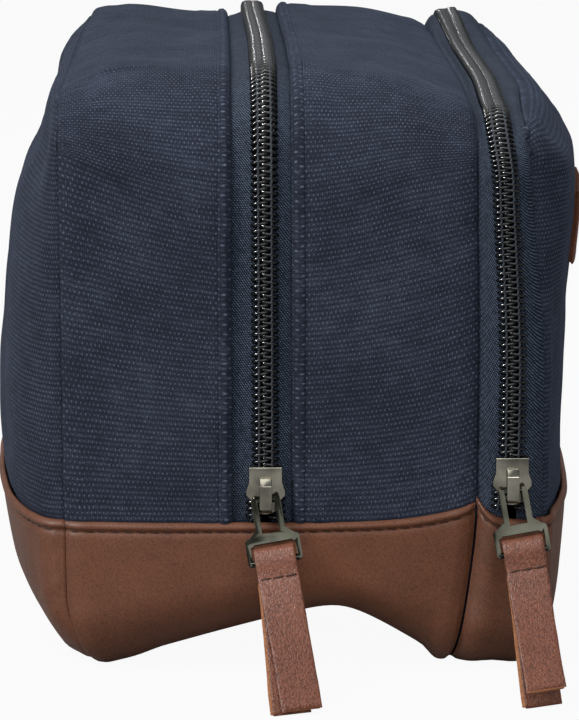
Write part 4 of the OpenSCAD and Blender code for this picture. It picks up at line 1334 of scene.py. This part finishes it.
def liningGusset(bay, name, stands):
    middle, opening = bays[bay]["zip"], inside["opening"][bay]

    def place(run, across):
        point, normal, along, rearGap, foreGap, _ = gussetSpot(bay, across, run)
        wave = inside["wave"] * wander(along / 16, across / 12, 71) * ease(min(rearGap, foreGap), 0, 6)
        return point + normal * (wave - inside["depth"]), (across, along)

    around, floor = spread(-6, 6, 150), spread(-2.9, 2.9, 70)
    for word, runs, start, stop in (("Rear", around, 0, middle - opening),
                                    ("Front", around, middle + opening, bays[bay]["wide"]),
                                    ("Floor", floor, middle - opening, middle + opening)):
        cols = graded(start, stop, 3, False, False)
        sewCloth(name + word, runs, cols, place, lining, inside["thick"], stands, flip=True)


def liningPanel(bay, name, stands):
    turn, seam, middle = panels[bay]["turn"], panels[bay]["seam"], bag["seamHeight"] / 2

    def place(row, u):
        outerX = seamX * u
        low, high = outlineLow(outerX), outlineHigh(outerX)
        outerZ = low + (high - low) * row
        x, z = outerX * inside["panelLong"], (outerZ - middle) * inside["panelHigh"] + middle
        bulge = panelBulge(bay, outerX, outerZ) + min(0, fullness(bay, outerX, outerZ))
        rise = max(0, bulge - inside["panelDepth"])
        y = seam(z) + turn * (0.2 + rise + inside["thick"])
        sag = inside["panelSag"] * wander(x / 14, z / 12, 77) * ease(rise, 0, 6)
        if bay == "front":
            y += leaning("front", 1, x, z) * (1 - ease(seamX - abs(x), 4, 22))
        return Vector((x, y - turn * sag, z)), (x, z)

    sewCloth(name, spread(0, 1, 60), panelColumns()[::2], place, lining, inside["thick"], stands,
             flip=turn > 0)


def dividerSheet():
    def place(row, u):
        x = (seamX - inside["dividerIn"]) * u
        low = outlineLow(seamX * u) + inside["dividerEdge"]
        high = outlineHigh(seamX * u) - inside["dividerEdge"]
        z = low + (high - low) * row
        y = dividerSeam(z) + bag["dividerThick"] / 2 + leaning("main", 1, x, z)
        y += 0.4 * wander(x / 30, z / 26, 91)
        return Vector((x, y, z)), (x, z)

    sewCloth("divider", spread(0, 1, 50), panelColumns()[::2], place, lining, bag["dividerThick"],
             ["divider_panel"], flip=True)


def boundSeam(name, bay, start, stop, stands):
    def place(run, across):
        point, normal, along, _, _, _ = gussetSpot(bay, across, run)
        edge = min(across - start, stop - across)
        lift = -binding["depth"] - rolled(max(0, edge), binding["roll"]) + 0.1 * wander(along / 6, 0, 81)
        return point + normal * lift, (across, along)

    runs = spread(-binding["ends"], binding["ends"], 190)
    sewCloth(name, runs, graded(start, stop, 1.2), place, bindingCloth, binding["thick"], stands,
             flip=True)


liningGusset("main", "mainLining", ["main_lining_gusset"])
liningGusset("front", "frontLining", ["front_lining_gusset"])
liningPanel("main", "backLining", ["main_lining_back"])
liningPanel("front", "frontPanelLining", ["front_lining_panel"])
dividerSheet()
gap, width, frontWidth = binding["gap"], binding["width"], binding["frontWidth"]
boundSeam("backSeamBinding", "main", gap, width, ["back_seam_binding"])
boundSeam("dividerSeamBinding", "main", mainWide - width, mainWide - gap, ["divider_seam_binding"])
boundSeam("frontSeamBinding", "front", frontWide - frontWidth, frontWide - gap, ["front_seam_binding"])
print("inside made")


# The floor and the sky look white to the camera alone, and light the bag at a plain level.
backdrop = {"size": 6, "deep": 0.3, "pale": 0.34, "white": 0.94, "sky": (0.94, 0.97, 1, 1),
            "skyStrength": 0.36}


def paleFloor():
    floor = Finish("paleFloor", Roughness=0.9, Specular_IOR_Level=0.1)
    deep, pale = ((*[backdrop[key]] * 3, 1) for key in ("deep", "pale"))
    floor.feed("Base Color", floor.mix(floor.cloud(floor.place(), 40, 2.0), deep, pale))
    glow = floor.node("Emission", {}, {"Color": (1, 1, 1, 1), "Strength": 1.0})
    cameraRay = floor.node("LightPath", {}, {})  # its first output is Is Camera Ray
    shaders = {0: cameraRay * backdrop["white"], 1: Wire(floor, floor.shader.outputs[0]), 2: glow}
    blend = floor.node("MixShader", {}, shaders)
    floor.fill(floor.tree.nodes["Material Output"].inputs["Surface"], blend)
    bm = bmesh.new()
    bmesh.ops.create_grid(bm, x_segments=8, y_segments=8, size=backdrop["size"])
    mesh = bpy.data.meshes.new("floor")
    bm.to_mesh(mesh)
    bm.free()
    mesh.materials.append(floor.material)
    ground = bpy.data.objects.new("floor", mesh)
    bpy.context.scene.collection.objects.link(ground)


def paleSky():
    world = bpy.data.worlds.new("studio")
    bpy.context.scene.world = world
    world.use_nodes = True
    nodes, links = world.node_tree.nodes, world.node_tree.links
    nodes.clear()
    cameraRay = nodes.new("ShaderNodeLightPath").outputs["Is Camera Ray"]
    choose = nodes.new("ShaderNodeMixShader")
    links.new(cameraRay, choose.inputs[0])
    skies = ((backdrop["sky"], backdrop["skyStrength"]), ((1, 1, 1, 1), 1.0))
    for socket, (colour, strength) in zip((1, 2), skies):
        sky = nodes.new("ShaderNodeBackground")
        sky.inputs["Color"].default_value = colour
        sky.inputs["Strength"].default_value = strength
        links.new(sky.outputs[0], choose.inputs[socket])
    links.new(choose.outputs[0], nodes.new("ShaderNodeOutputWorld").inputs["Surface"])


# Places and sizes in metres, powers in watts. A lamp with glossOnly shows in shiny surfaces, and adds no
# diffuse light.
lamps = {
    "key": {"at": (-0.7, 0.75, 1.0), "size": 0.4, "power": 13},
    "top": {"at": (0.15, 0.1, 1.35), "size": 1.1, "power": 10.5},
    "fill": {"at": (-1.4, -0.15, 0.9), "size": 1.0, "power": 12},
    "glint": {"at": (-0.7, 1.0, 0.8), "size": 0.12, "power": 45, "glossOnly": True},
    "ridge": {"at": (0.4, 0.25, 1.4), "size": 0.12, "power": 8, "glossOnly": True},
}


def lampAt(name, at, size, power, glossOnly=False):
    light = bpy.data.lights.new(name, "AREA")
    light.shape, light.size, light.energy = "SQUARE", size, power
    lamp = bpy.data.objects.new(name, light)
    bpy.context.scene.collection.objects.link(lamp)
    lamp.location = at
    lamp.rotation_mode = "QUATERNION"
    lamp.rotation_quaternion = (Vector((0, 0, 0.08)) - Vector(at)).to_track_quat("-Z", "Y")
    lamp.visible_diffuse = not glossOnly


paleFloor()
paleSky()
for name, lamp in lamps.items():
    lampAt(name, **lamp)
bpy.context.scene.view_settings.view_transform = "Standard"

print("scene made")
